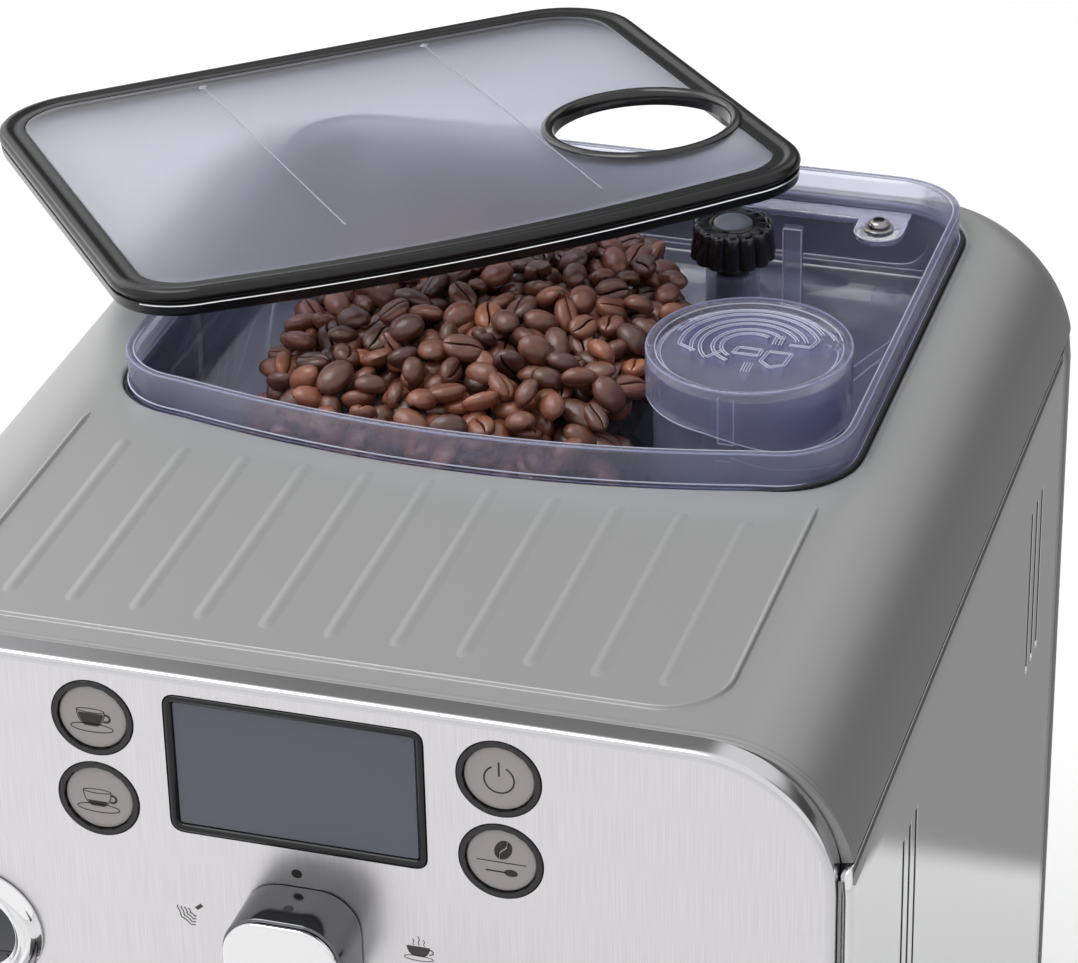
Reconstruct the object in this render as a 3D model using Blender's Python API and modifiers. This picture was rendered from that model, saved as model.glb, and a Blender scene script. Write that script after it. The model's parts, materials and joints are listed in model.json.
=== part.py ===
"""Bean to cup coffee machine with its bean lid taken off and laid askew on the hopper.

Metres, +Z up. X runs to the machine's right, Y to its back. The origin is on the worktop, in the
middle of the footprint of body and drip tray. Run it with: blender --background --python part.py
"""
import math

import bmesh
import bpy
from mathutils import Euler, Matrix, Vector

for old in list(bpy.data.objects):
    bpy.data.objects.remove(old, do_unlink=True)

parts = bpy.data.collections.new("coffee_machine")
tools = bpy.data.collections.new("cutters")
bpy.context.scene.collection.children.link(parts)
bpy.context.scene.collection.children.link(tools)

# Driving dimensions
body_width = 0.256
body_depth = 0.290
body_top = 0.298
tray_reach = 0.150
foot_height = 0.0025
base_plate = 0.004
skin = 0.0025
fit_gap = 0.0003
run_gap = 0.0006
overrun = 0.010
merge_limit = 0.00001
weld_share = 0.01

front = tray_reach - (tray_reach + body_depth) / 2
back = front + body_depth
half_width = body_width / 2
plate_top = foot_height + base_plate
panel_foot = plate_top + run_gap
upper_part = 0.108
lower_top = body_top - upper_part

# Feet
foot_radius = 0.009
foot_chamfer = 0.001
foot_recess = 0.0012
foot_side_inset = 0.028
foot_front_inset = 0.036
foot_rear_inset = 0.030

# Outer form of the body
shoulder_radius = 0.033
rear_corner_radius = 0.025
rear_top_radius = 0.008
seam_drop = 0.0265
seam_gap = 0.0008
shell_front = 0.0052
panel_front = 0.0030
arc_steps = 7
rear_steps = 4

# Front panel, a pressed steel pan, and what sits in it
pan_side_gap = 0.0030
pan_rise = 0.001
pan_radius = 0.0325
pan_depth = 0.0048
pan_wall = 0.0009
pan_edge = 0.0018
carrier_back = 0.010
carrier_side_gap = 0.0016
carrier_drop = 0.0033
carrier_radius = 0.0292

display_half_width = 0.0308
display_top = 0.0042
display_height = 0.0368
display_frame = 0.0019
display_sill = 0.0042
display_stand_out = 0.0004
window_depth = 0.0013
window_thickness = 0.002
display_radius = 0.0022

button_x = 0.0484
button_upper_drop = 0.0135
button_pitch = 0.0220
button_radius = 0.0083
button_ring = 0.0015
button_sink = 0.0003
button_travel = 0.0012
button_flange = 0.0013

dial_drop = 0.0657
dial_width = 0.0288
dial_corner = 0.0100
dial_depth = 0.0148
dial_face = 0.0011
dial_shaft_radius = 0.0042
dial_shaft_length = 0.0140

boss_side_inset = 0.0460
boss_drop = 0.0770
boss_radius = 0.0163
boss_height = 0.0042
boss_pin_radius = 0.0030

board_thickness = 0.0016
board_half_width = 0.062
board_height = 0.048
board_post_x = 0.053
board_post_drop = 0.050
board_post_radius = 0.003

# Top cover: ribs, border bead and the opening for the hopper
rib_pitch_share = 0.1695
rib_count = 11
rib_start = 0.0275
rib_end = 0.1000
rib_radius = 0.0020
rib_rise = 0.0008
bead_side_inset = 0.0012
bead_front = 0.0170
bead_back = 0.1126
bead_corner = 0.0160
bead_radius = 0.0010
bead_rise = 0.0005

# Bean hopper
hopper_x = 0.0026
hopper_side_inset = 0.0331
hopper_front = 0.1185
hopper_back = 0.2785
hopper_bow = 0.0095
hopper_corner = 0.020
hopper_rise = 0.009
hopper_wall = 0.0022
hopper_opening_gap = 0.0014
wall_drop = 0.024
floor_drop = 0.044
mouth_drop = 0.058
mouth_share = 0.769
bowl_share = 1.45
grinder_y = 0.190
ledge_drop = 0.0010
ledge_width = 0.006
ledge_thickness = 0.002
lug_side_inset = 0.0232
lug_y = 0.2645
lug_radius = 0.0066
screw_head_radius = 0.0042
screw_head_height = 0.0024
washer_radius = 0.0056
washer_height = 0.0008
screw_radius = 0.0019
screw_length = 0.012

# Ground coffee doser beside the hopper's floor
doser_side_share = 0.6354
doser_y = 0.1671
doser_radius = 0.0225
doser_wall = 0.0018
doser_rise = 0.0085
doser_neck_radius = 0.013
doser_neck_height = 0.016
cap_radius = 0.0240
cap_skirt = 0.0125
cap_wall = 0.0011
cap_well = 0.0022
cap_rib = 0.0011

# Grinder knob and grinder
knob_side_inset = 0.0581
knob_y = 0.2420
knob_top = 0.008
knob_height = 0.0100
knob_radius_top = 0.0108
knob_radius_low = 0.0117
knob_flutes = 14
knob_flute_share = 0.055
knob_insert_radius = 0.0052
knob_insert_rise = 0.0006
stem_radius = 0.0046
stem_bite = 0.0015
post_offset = 0.0125
post_width = 0.0050
post_depth = 0.0030
post_rise = 0.0015
tower_wall = 0.0022
tower_drop = 0.0060
grinder_clearance = 0.0024
grinder_neck_share = 0.619
grinder_neck_height = 0.004
grinder_shoulder = 0.040
grinder_bore_share = 0.738
grinder_floor = 0.011
burr_share = 0.806
burr_height = 0.022
burr_shaft_radius = 0.004
motor_radius = 0.026
motor_length = 0.066
motor_seat = 0.020

# Decks and walls inside
deck_drop_more = 0.001
deck_thickness = 0.003
deck_back = 0.250
bay_floor_step = 0.0023
bay_floor_thickness = 0.0032
bay_back = 0.136
wall_share = 0.379
wall_thickness = 0.003
drawer_left_share = 0.536

# Lower front, spout and steam wand
lower_front_back = 0.006
lower_front_thickness = 0.003
rail_half_width = 0.009
rail_reach = 0.007
rail_low = 0.004
spout_half_width = 0.027
spout_reach = 0.060
spout_low_share = 0.6342
spout_height = 0.039
spout_step = 0.006
spout_corner = 0.010
nozzle_x = 0.0125
nozzle_radius = 0.0055
nozzle_bore = 0.0026
nozzle_length = 0.012
wand_side_inset = 0.036
wand_pivot_share = 0.9263
wand_knuckle_radius = 0.0095
wand_knuckle_length = 0.013
wand_shaft_radius = 0.004
wand_boss_radius = 0.0120
wand_boss_length = 0.006
wand_pipe_radius = 0.0032
wand_length_share = 0.404
sleeve_radius = 0.0062
sleeve_length = 0.042
grip_radius = 0.0075
grip_length = 0.018

# Drip tray, grid and float
tray_side_gap = 0.0035
tray_back_gap = 0.0030
tray_height_share = 0.2495
tray_bottom = 0.0030
tray_wall = 0.0030
tray_floor = 0.0026
tray_corner = 0.034
tray_rear_corner = 0.010
tray_ledge = 0.0050
grid_thickness = 0.0014
grid_seat = 0.0030
grid_slots = 13
grid_slot_width = 0.0042
grid_margin = 0.016
grid_bar = 0.012
float_side_inset = 0.0385
float_y = 0.034
float_radius = 0.010
float_stem_radius = 0.0036
float_height = 0.007
tongue_side_inset = 0.010
tongue_inset = 0.014

# Drawer for the spent grounds, and water tank
drawer_height_share = 0.3579
drawer_back = 0.133
drawer_wall = 0.0025
grip_width = 0.060
grip_height = 0.016
grip_depth = 0.012
tank_back = 0.130
tank_wall = 0.0025
tank_front_depth = 0.008
tank_grip_depth = 0.0055
tank_grip_drop = 0.020
tank_window_width = 0.008
tank_window_share = 0.368
tank_window_low = 0.022

# Service door
door_axis_inset = 0.0052
door_axis_y = 0.2585
door_roll_radius = 0.0045
door_pin_radius = 0.0015
pin_seat = 0.003
pin_lug_radius = 0.0034
pin_lug_height = 0.0034
door_pin_bite = 0.007
groove_radius = 0.0012
groove_pitch = 0.0068
groove_front = 0.0655
groove_rear = 0.2227
groove_top = 0.0510
groove_length = 0.0504
door_swing_share = 1.22

# Back
vent_count = 7
vent_half_width = 0.045
vent_height = 0.0032
vent_pitch = 0.010
vent_top = 0.120
inlet_side_inset = 0.042
inlet_height = 0.040
inlet_half_width = 0.0145
inlet_half_height = 0.0115
inlet_depth = 0.026
inlet_wall = 0.002
switch_offset = 0.036
switch_half_width = 0.009
switch_drum_radius = 0.011
switch_drum_depth = 0.009
switch_dish_radius = 0.014
switch_dish = 0.001

# Water circuit and brewing
boiler_side_inset = 0.046
boiler_y = 0.062
boiler_radius = 0.028
boiler_height = 0.044
pump_side_inset = 0.040
pump_y = 0.190
pump_coil = 0.040
pump_radius = 0.013
pump_length = 0.090
hose_radius = 0.0028
group_side_share = 0.2075
group_y = 0.184
group_width_share = 0.7547
group_depth = 0.088
group_chute_radius = 0.0115
group_bore = 0.0225
group_floor = 0.012
piston_height = 0.030

# Lid of the hopper, laid askew
lid_overhang = 0.0006
lid_depth = 0.1673
lid_bow = 0.0058
lid_corner_front = 0.0211
lid_corner_back = 0.0251
lid_height = 0.0075
lid_border = 0.0075
lid_flange = 0.0028
lid_skirt_inset = 0.0016
lid_skirt_wall = 0.0030
lid_pane = 0.0022
lid_hole_inset = 0.0302
lid_hole_y = -0.0262
lid_hole_radius = 0.0245
lid_ring_radius = 0.0277
lid_ring_rise = 0.0007
lid_centre = (-0.06268, 0.25525, 0.01534)
lid_turn_degrees = (-5.701, -1.045, 37.088)

# Bean fill
bean_side_inset = 0.0289
bean_doser_gap = 0.0019
bean_front = 0.072
bean_back = 0.066
bean_heap = 0.0105
bean_gap = 0.0012
bean_corner_share = 0.47
bean_shares = (
    (0.20, 0.03), (0.25, 0.15), (0.32, 0.26), (0.80, 0.46), (1.00, 0.59), (1.00, 0.73),
    (0.93, 0.84), (0.75, 0.92), (0.45, 0.98), (0.20, 1.00),
)


def across(depth):
    """World Y of a place this far behind the front panel's face."""
    return front + depth


def below(drop):
    """World Z of a place this far under the flat top."""
    return body_top - drop


def finish(name, colour, roughness, metallic=0.0, alpha=1.0):
    made = bpy.data.materials.new(name)
    made.use_nodes = True
    shader = made.node_tree.nodes["Principled BSDF"]
    shader.inputs["Base Color"].default_value = (*colour, 1.0)
    shader.inputs["Roughness"].default_value = roughness
    shader.inputs["Metallic"].default_value = metallic
    shader.inputs["Alpha"].default_value = alpha
    made.diffuse_color = (*colour, alpha)
    return made


satin_grey = finish("satin_grey", (0.38, 0.39, 0.38), 0.42, 0.6)
brushed_steel = finish("brushed_steel", (0.66, 0.65, 0.65), 0.30, 1.0)
chrome = finish("chrome", (0.80, 0.80, 0.82), 0.08, 1.0)
dark_chrome = finish("dark_chrome", (0.20, 0.20, 0.21), 0.20, 1.0)
black_plastic = finish("black_plastic", (0.02, 0.02, 0.02), 0.40)
gloss_black = finish("gloss_black", (0.015, 0.015, 0.017), 0.15)
charcoal = finish("charcoal_gloss", (0.035, 0.038, 0.045), 0.18)
smoke = finish("smoke_clear", (0.30, 0.32, 0.38), 0.12, 0.0, 0.55)
clear = finish("clear_plastic", (0.62, 0.64, 0.80), 0.06, 0.0, 0.30)
display_glass = finish("display_glass", (0.16, 0.17, 0.20), 0.12)
key_grey = finish("key_grey", (0.42, 0.40, 0.38), 0.45)
green_board = finish("circuit_board", (0.03, 0.18, 0.07), 0.55)
rubber = finish("rubber", (0.03, 0.03, 0.03), 0.80)
bean_brown = finish("roast_brown", (0.11, 0.045, 0.028), 0.45)
aluminium = finish("cast_aluminium", (0.60, 0.60, 0.60), 0.40, 1.0)
float_red = finish("float_red", (0.55, 0.03, 0.03), 0.40)
silicone = finish("silicone", (0.70, 0.70, 0.68), 0.50)


def place(name, mesh, look=None):
    """A piece with its look, or a hidden tool that cuts or joins pieces."""
    made = bpy.data.objects.new(name, mesh)
    if look is None:
        tools.objects.link(made)
        made.hide_render = True
        made.display_type = "WIRE"
    else:
        parts.objects.link(made)
        mesh.materials.append(look)
    return made


def to_mesh(name, shape, smooth=True):
    bmesh.ops.recalc_face_normals(shape, faces=shape.faces)
    mesh = bpy.data.meshes.new(name)
    shape.to_mesh(mesh)
    shape.free()
    if smooth:
        mesh.shade_smooth()
        mesh.set_sharp_from_angle(angle=math.radians(32))
    return mesh


def block(name, x, y, z, look=None):
    """A box between the given pairs of places."""
    shape = bmesh.new()
    bmesh.ops.create_cube(shape, size=1.0)
    bmesh.ops.scale(shape, vec=(x[1] - x[0], y[1] - y[0], z[1] - z[0]), verts=shape.verts)
    middle = ((x[0] + x[1]) / 2, (y[0] + y[1]) / 2, (z[0] + z[1]) / 2)
    bmesh.ops.translate(shape, vec=middle, verts=shape.verts)
    return place(name, to_mesh(name, shape, False), look)


def cylinder(name, radius, start, end, look=None, sides=16):
    """A round bar from start to end."""
    start, end = Vector(start), Vector(end)
    shape = bmesh.new()
    length = (end - start).length
    bmesh.ops.create_cone(shape, cap_ends=True, segments=sides, radius1=radius, radius2=radius, depth=length)
    turn = (end - start).to_track_quat("Z", "Y").to_matrix().to_4x4()
    bmesh.ops.transform(shape, matrix=Matrix.Translation((start + end) / 2) @ turn, verts=shape.verts)
    return place(name, to_mesh(name, shape), look)


def arc(centre, radius, start, end, steps):
    """Points of an arc, in degrees, both ends included."""
    angles = [math.radians(start + (end - start) * i / steps) for i in range(steps + 1)]
    return [(centre[0] + radius * math.cos(a), centre[1] + radius * math.sin(a)) for a in angles]


def rounded(left, right, low, high, radius, steps=5):
    """Outline of a rectangle with round corners, counterclockwise from its lower right corner."""
    return (
        arc((right - radius, low + radius), radius, -90, 0, steps)
        + arc((right - radius, high - radius), radius, 0, 90, steps)
        + arc((left + radius, high - radius), radius, 90, 180, steps)
        + arc((left + radius, low + radius), radius, 180, 270, steps)
    )


def slab(name, outline, axis, low, high, look=None):
    """An outline drawn across an axis and extruded along it."""
    shape = bmesh.new()
    put = {
        "x": lambda a, b: (low, a, b),
        "y": lambda a, b: (a, low, b),
        "z": lambda a, b: (a, b, low),
    }[axis]
    face = shape.faces.new([shape.verts.new(put(a, b)) for a, b in outline])
    grown = bmesh.ops.extrude_face_region(shape, geom=[face])
    moved = [item for item in grown["geom"] if isinstance(item, bmesh.types.BMVert)]
    along = [high - low if name_of == axis else 0.0 for name_of in "xyz"]
    bmesh.ops.translate(shape, vec=along, verts=moved)
    return place(name, to_mesh(name, shape), look)


def loft(name, rings, look=None):
    """A solid skin over rings of points, each ring with as many points, with flat ends."""
    shape = bmesh.new()
    rows = [[shape.verts.new(point) for point in ring] for ring in rings]
    for low, high in zip(rows, rows[1:]):
        for i in range(len(low)):
            j = (i + 1) % len(low)
            shape.faces.new((low[i], low[j], high[j], high[i]))
    shape.faces.new(rows[0][::-1])
    shape.faces.new(rows[-1])
    bmesh.ops.triangulate(shape, faces=shape.faces)
    return place(name, to_mesh(name, shape), look)


def turned(name, profile, centre, look=None, closed=False, steps=20, facing=None):
    """A profile of (radius, height) turned about the axis through the centre, top first."""
    mesh = bpy.data.meshes.new(name)
    points = [(radius, 0.0, height) for radius, height in profile]
    edges = [(i, i + 1) for i in range(len(points) - 1)]
    if closed:
        edges.append((len(points) - 1, 0))
    mesh.from_pydata(points, edges, [])
    made = place(name, mesh, look)
    made.location = centre
    if facing is not None:
        made.rotation_euler = Vector(facing).to_track_quat("Z", "Y").to_euler()
    screw = made.modifiers.new("turn", "SCREW")
    screw.steps = screw.render_steps = steps
    screw.use_merge_vertices = True
    screw.merge_threshold = merge_limit
    screw.use_smooth_shade = True
    return made


def tube(name, points, radius, look=None, sides=2):
    """A round bar along a run of points."""
    curve = bpy.data.curves.new(name, "CURVE")
    curve.dimensions = "3D"
    curve.bevel_depth = radius
    curve.bevel_resolution = sides
    curve.use_fill_caps = True
    spline = curve.splines.new("POLY")
    spline.points.add(len(points) - 1)
    for point, place_of in zip(spline.points, points):
        point.co = (*place_of, 1.0)
    drawn = bpy.data.objects.new(name + "_path", curve)
    tools.objects.link(drawn)
    seen = drawn.evaluated_get(bpy.context.evaluated_depsgraph_get())
    mesh = bpy.data.meshes.new_from_object(seen)
    bpy.data.objects.remove(drawn)
    shape = bmesh.new()
    shape.from_mesh(mesh)
    bmesh.ops.remove_doubles(shape, verts=shape.verts, dist=radius * weld_share)
    mesh.materials.clear()
    return place(name, to_mesh(name, shape), look)


def smooth_run(knots, steps=6):
    """Points on a smooth curve through the knots (Catmull-Rom)."""
    knots = [Vector(knot) for knot in knots]
    ends = [2 * knots[0] - knots[1]] + knots + [2 * knots[-1] - knots[-2]]
    run = []
    for a, b, c, d in zip(ends, ends[1:], ends[2:], ends[3:]):
        for i in range(steps):
            t = i / steps
            run.append(
                0.5 * (2 * b + (c - a) * t + (2 * a - 5 * b + 4 * c - d) * t**2
                       + (3 * b - a - 3 * c + d) * t**3)
            )
    return run + [knots[-1]]


def combine(piece, tool, how):
    step = piece.modifiers.new(tool.name, "BOOLEAN")
    step.object = tool
    step.operation = how
    step.solver = "EXACT"
    return piece


def cut(piece, *made):
    for tool in made:
        combine(piece, tool, "DIFFERENCE")
    return piece


def join(piece, *made):
    for tool in made:
        combine(piece, tool, "UNION")
    return piece


def keep(piece, tool):
    return combine(piece, tool, "INTERSECT")


def soften(piece, width, segments=2):
    """Rounded edges on a piece whose shape is still whole."""
    step = piece.modifiers.new("edges", "BEVEL")
    step.width = width
    step.segments = segments
    step.limit_method = "ANGLE"
    step.angle_limit = math.radians(35)
    return piece


def many(name, pieces):
    """Several separate tools made one, so that a single step cuts or joins them all."""
    shape = bmesh.new()
    for piece in pieces:
        shape.from_mesh(piece.data)
        bpy.data.objects.remove(piece)
    return place(name, to_mesh(name, shape))


# Places that several pieces share
pan_half_width = half_width - pan_side_gap
carrier_half_width = pan_half_width - carrier_side_gap
hopper_half_width = half_width - hopper_side_inset
hopper_right = hopper_x + hopper_half_width
bead_half_width = hopper_half_width - bead_side_inset
rib_pitch = bead_half_width * rib_pitch_share
lug_x = hopper_half_width - lug_side_inset
doser_x = hopper_x + hopper_half_width * doser_side_share
knob_x = hopper_right - knob_side_inset
post_x = knob_x + post_offset
doser_distance = math.hypot(doser_x, grinder_y - doser_y)
grinder_radius = doser_distance - doser_radius - grinder_clearance
grinder_bore = grinder_radius * grinder_bore_share
grinder_neck = grinder_radius * grinder_neck_share
burr_radius = grinder_bore * burr_share
mouth_radius = grinder_neck * mouth_share
bowl_radius = mouth_radius * bowl_share
lid_half_width = hopper_half_width + lid_overhang
lid_hole_x = lid_half_width - lid_hole_inset
bean_left = hopper_half_width - bean_side_inset
bean_right = doser_x - doser_radius - bean_doser_gap
foot_x = half_width - foot_side_inset
tray_half_width = half_width - tray_side_gap
float_x = tray_half_width - float_side_inset
tongue_half_width = half_width - tongue_side_inset
wall_x = half_width * wall_share
drawer_left = half_width * drawer_left_share
door_axis_x = half_width - door_axis_inset
boss_x = boss_side_inset - half_width
wand_x = wand_side_inset - half_width
inlet_x = inlet_side_inset - half_width
switch_x = inlet_x + switch_offset
boiler_x = boiler_side_inset - half_width
pump_x = pump_side_inset - half_width
bay_width = half_width - wall_x
group_width = bay_width * group_width_share
group_x = half_width - bay_width * group_side_share - group_width / 2

pan_low = lower_top
deck_drop = upper_part + deck_drop_more
tray_height = lower_top * tray_height_share
bay_floor_height = tray_height + bay_floor_step
drawer_height = lower_top * drawer_height_share
spout_low = lower_top * spout_low_share
wand_pivot_height = lower_top * wand_pivot_share
wand_length = lower_top * wand_length_share
tank_window_height = lower_top * tank_window_share
seam = below(seam_drop)
inner_half = half_width - skin - fit_gap
deck_top = below(deck_drop)
deck_low = deck_top - deck_thickness
inside_front = carrier_back - fit_gap * 2
bay_left = -drawer_left - run_gap
wall_left = wall_x - wall_thickness / 2
wall_right = wall_x + wall_thickness / 2
drawer_low = bay_floor_height + fit_gap
drawer_top = drawer_low + drawer_height
lower_front_low = drawer_top + run_gap
side_end = door_axis_y + door_roll_radius


def body_ring(y, low, wall):
    """The body's outline at a world Y, drawn in by a wall: sides, round shoulders and flat top."""
    corner = rear_corner_radius - wall
    past = max(0.0, y - (back - rear_corner_radius))
    drawn_in = corner - math.sqrt(max(0.0, corner**2 - past**2))
    top_corner = rear_top_radius - wall
    over = max(0.0, y - (back - rear_top_radius))
    dropped = top_corner - math.sqrt(max(0.0, top_corner**2 - over**2))
    half = half_width - wall - drawn_in
    top = body_top - wall - dropped
    radius = shoulder_radius - wall
    left = arc((-half + radius, top - radius), radius, 180, 90, arc_steps)
    right = arc((half - radius, top - radius), radius, 90, 0, arc_steps)
    return [(x, y, z) for x, z in [(-half, low)] + left + right + [(half, low)]]


def body_form(name, start, low, wall, look=None):
    centre = back - rear_corner_radius
    corner = rear_corner_radius - wall
    turns = [math.radians(90 * i / rear_steps) for i in range(rear_steps + 1)]
    rounding = [centre + corner * math.sin(turn) for turn in turns]
    places = [start] + [y for y in rounding if y > start + fit_gap]
    return loft(name, [body_ring(y, low, wall) for y in places], look)


def body_shell(name, region):
    """A piece of the outer skin: the body's form, hollow and open below, kept inside a region."""
    start = region[1][0]
    shell = body_form(name, start, panel_foot, 0.0, satin_grey)
    cut(shell, body_form(name + "_inside", start - overrun, panel_foot - overrun, skin))
    return keep(shell, block(name + "_region", *region))


def arched(half, low, top, radius):
    """An upright outline, square below and round at both top corners."""
    return (
        [(-half, low), (half, low)]
        + arc((half - radius, top - radius), radius, 0, 90, arc_steps)
        + arc((-half + radius, top - radius), radius, 90, 180, arc_steps)
    )


def pan_outline(inset):
    top = body_top + pan_rise - inset
    return arched(pan_half_width - inset, pan_low + inset, top, pan_radius - inset)


def bowed(half, low, high, front_corner, back_corner, bow, centre=0.0, steps=4, bow_steps=6):
    """A rectangle with round corners whose near side bows outwards; X is measured from the centre."""
    span = half - front_corner
    shares = [i / bow_steps for i in range(1, bow_steps)]
    near = [(-span + 2 * span * t, low - bow * (1 - (2 * t - 1) ** 2)) for t in shares]
    outline = (
        near
        + arc((span, low + front_corner), front_corner, -90, 0, steps)
        + arc((half - back_corner, high - back_corner), back_corner, 0, 90, steps)
        + arc((-half + back_corner, high - back_corner), back_corner, 90, 180, steps)
        + arc((-span, low + front_corner), front_corner, 180, 270, steps)
    )
    return [(x + centre, y) for x, y in outline]


def hopper_outline(inset):
    corner = hopper_corner - inset
    return bowed(
        hopper_half_width - inset, across(hopper_front + inset), across(hopper_back - inset),
        corner, corner, hopper_bow, hopper_x,
    )


def lid_outline(inset):
    half_depth = lid_depth / 2 - inset
    return bowed(
        lid_half_width - inset, -half_depth, half_depth,
        lid_corner_front - inset, lid_corner_back - inset, lid_bow,
    )


def make_base():
    start = front - tray_reach + tongue_inset
    shelf = across(inside_front)
    end = back - skin - fit_gap
    corner = rear_corner_radius - skin - fit_gap
    outline = (
        [(-tongue_half_width, start), (tongue_half_width, start), (tongue_half_width, shelf)]
        + [(inner_half, shelf)]
        + arc((inner_half - corner, end - corner), corner, 0, 90, rear_steps)
        + arc((-inner_half + corner, end - corner), corner, 90, 180, rear_steps)
        + [(-inner_half, shelf), (-tongue_half_width, shelf)]
    )
    base = slab("base_frame", outline, "z", foot_height, plate_top, black_plastic)
    places = {
        "front_left": (-foot_x, front - tray_reach + foot_front_inset),
        "front_right": (foot_x, front - tray_reach + foot_front_inset),
        "rear_left": (-foot_x, back - foot_rear_inset),
        "rear_right": (foot_x, back - foot_rear_inset),
    }
    seat_top = foot_height + foot_recess
    foot_top = seat_top - fit_gap
    profile = [
        (0.0, foot_top), (foot_radius, foot_top), (foot_radius, foot_chamfer),
        (foot_radius - foot_chamfer, 0.0), (0.0, 0.0),
    ]
    seats = []
    for corner_name, (x, y) in places.items():
        turned("foot_" + corner_name, profile, (x, y, 0.0), rubber, steps=12)
        seat = (x, y, foot_height - overrun), (x, y, seat_top)
        seats.append(cylinder("foot_seat", foot_radius + fit_gap, *seat, sides=12))
    pin = (door_axis_x, across(door_axis_y))
    pin_hole = (*pin, plate_top - pin_seat), (*pin, plate_top + overrun)
    seats.append(cylinder("pin_seat", door_pin_radius + fit_gap, *pin_hole, sides=16))
    cut(base, many("base_seats", seats))


def side_grooves(name, side):
    """Two groups of three upright grooves in a side panel."""
    bars = []
    for middle in (groove_front, groove_rear):
        for step in (-1, 0, 1):
            y = across(middle + step * groove_pitch)
            top = below(groove_top)
            ends = (side * half_width, y, top - groove_length), (side * half_width, y, top)
            bars.append(cylinder("groove", groove_radius, *ends, sides=8))
    return many(name, bars)


def make_side_panels():
    top = seam - seam_gap
    ends = (across(panel_front), across(side_end))
    low = panel_foot
    outside = half_width + overrun
    inside = half_width - shoulder_radius
    region = ((-outside, -inside), ends, (low - overrun, top))
    left = body_shell("left_side_panel", region)
    cut(left, side_grooves("left_grooves", -1))

    region = ((inside, outside), (ends[0], across(door_axis_y)), (low - overrun, top))
    door = body_shell("service_door", region)
    cut(door, side_grooves("door_grooves", 1))
    foot = (door_axis_x, across(door_axis_y), low)
    head = (door_axis_x, across(door_axis_y), top)
    join(door, cylinder("door_roll", door_roll_radius, foot, head, sides=24))
    bore = door_pin_radius + fit_gap
    bite = door_pin_bite + fit_gap
    low_bore = cylinder("door_bore_low", bore, (*foot[:2], low - overrun), (*foot[:2], foot[2] + bite))
    high_bore = cylinder("door_bore_high", bore, (*head[:2], top - bite), (*head[:2], top + overrun))
    cut(door, low_bore, high_bore)

    low_pin = (*foot[:2], plate_top - pin_seat + fit_gap), (*foot[:2], foot[2] + door_pin_bite)
    cylinder("door_pin_lower", door_pin_radius, *low_pin, aluminium, sides=16)
    high_pin = (*foot[:2], top - door_pin_bite), (*foot[:2], seam + pin_seat - fit_gap)
    cylinder("door_pin_upper", door_pin_radius, *high_pin, aluminium, sides=16)


def make_rear_cover():
    start = across(door_axis_y + door_axis_inset * door_swing_share + run_gap)
    top = seam - seam_gap
    low = panel_foot
    wide = half_width + overrun
    region = ((-wide, wide), (start, back + overrun), (low - overrun, top))
    cover = body_shell("rear_cover", region)
    through = (back - skin - overrun, back + overrun)
    vents = []
    for row in range(vent_count):
        z = vent_top - row * vent_pitch
        span = (-vent_half_width, vent_half_width)
        vents.append(block("vent", span, through, (z - vent_height / 2, z + vent_height / 2)))
    cut(cover, many("rear_vents", vents))

    half = inlet_half_width + fit_gap
    tall = inlet_half_height + fit_gap
    hole = ((inlet_x - half, inlet_x + half), through, (inlet_height - tall, inlet_height + tall))
    cut(cover, block("inlet_hole", *hole))
    wall = ((inlet_x - inlet_half_width, inlet_x + inlet_half_width),
            (back - inlet_depth, back + fit_gap),
            (inlet_height - inlet_half_height, inlet_height + inlet_half_height))
    inlet = block("power_inlet", *wall, black_plastic)
    half = inlet_half_width - inlet_wall
    tall = inlet_half_height - inlet_wall
    hollow = ((inlet_x - half, inlet_x + half), (back - inlet_depth + inlet_wall * 3, back + overrun),
              (inlet_height - tall, inlet_height + tall))
    cut(inlet, block("inlet_hollow", *hollow))

    axis = (back - switch_drum_depth, inlet_height)
    reach = math.sqrt(switch_drum_radius**2 - (switch_drum_depth - skin) ** 2) + fit_gap
    half = switch_half_width + fit_gap
    hole = ((switch_x - half, switch_x + half), through, (axis[1] - reach, axis[1] + reach))
    cut(cover, block("switch_hole", *hole))
    ends = (switch_x - switch_half_width, *axis), (switch_x + switch_half_width, *axis)
    switch = cylinder("main_switch", switch_drum_radius, *ends, gloss_black, sides=28)
    dish = back - switch_dish + switch_dish_radius
    cut(switch, cylinder("switch_dish", switch_dish_radius,
                         (switch_x - half, dish, axis[1]), (switch_x + half, dish, axis[1]), sides=28))


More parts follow.
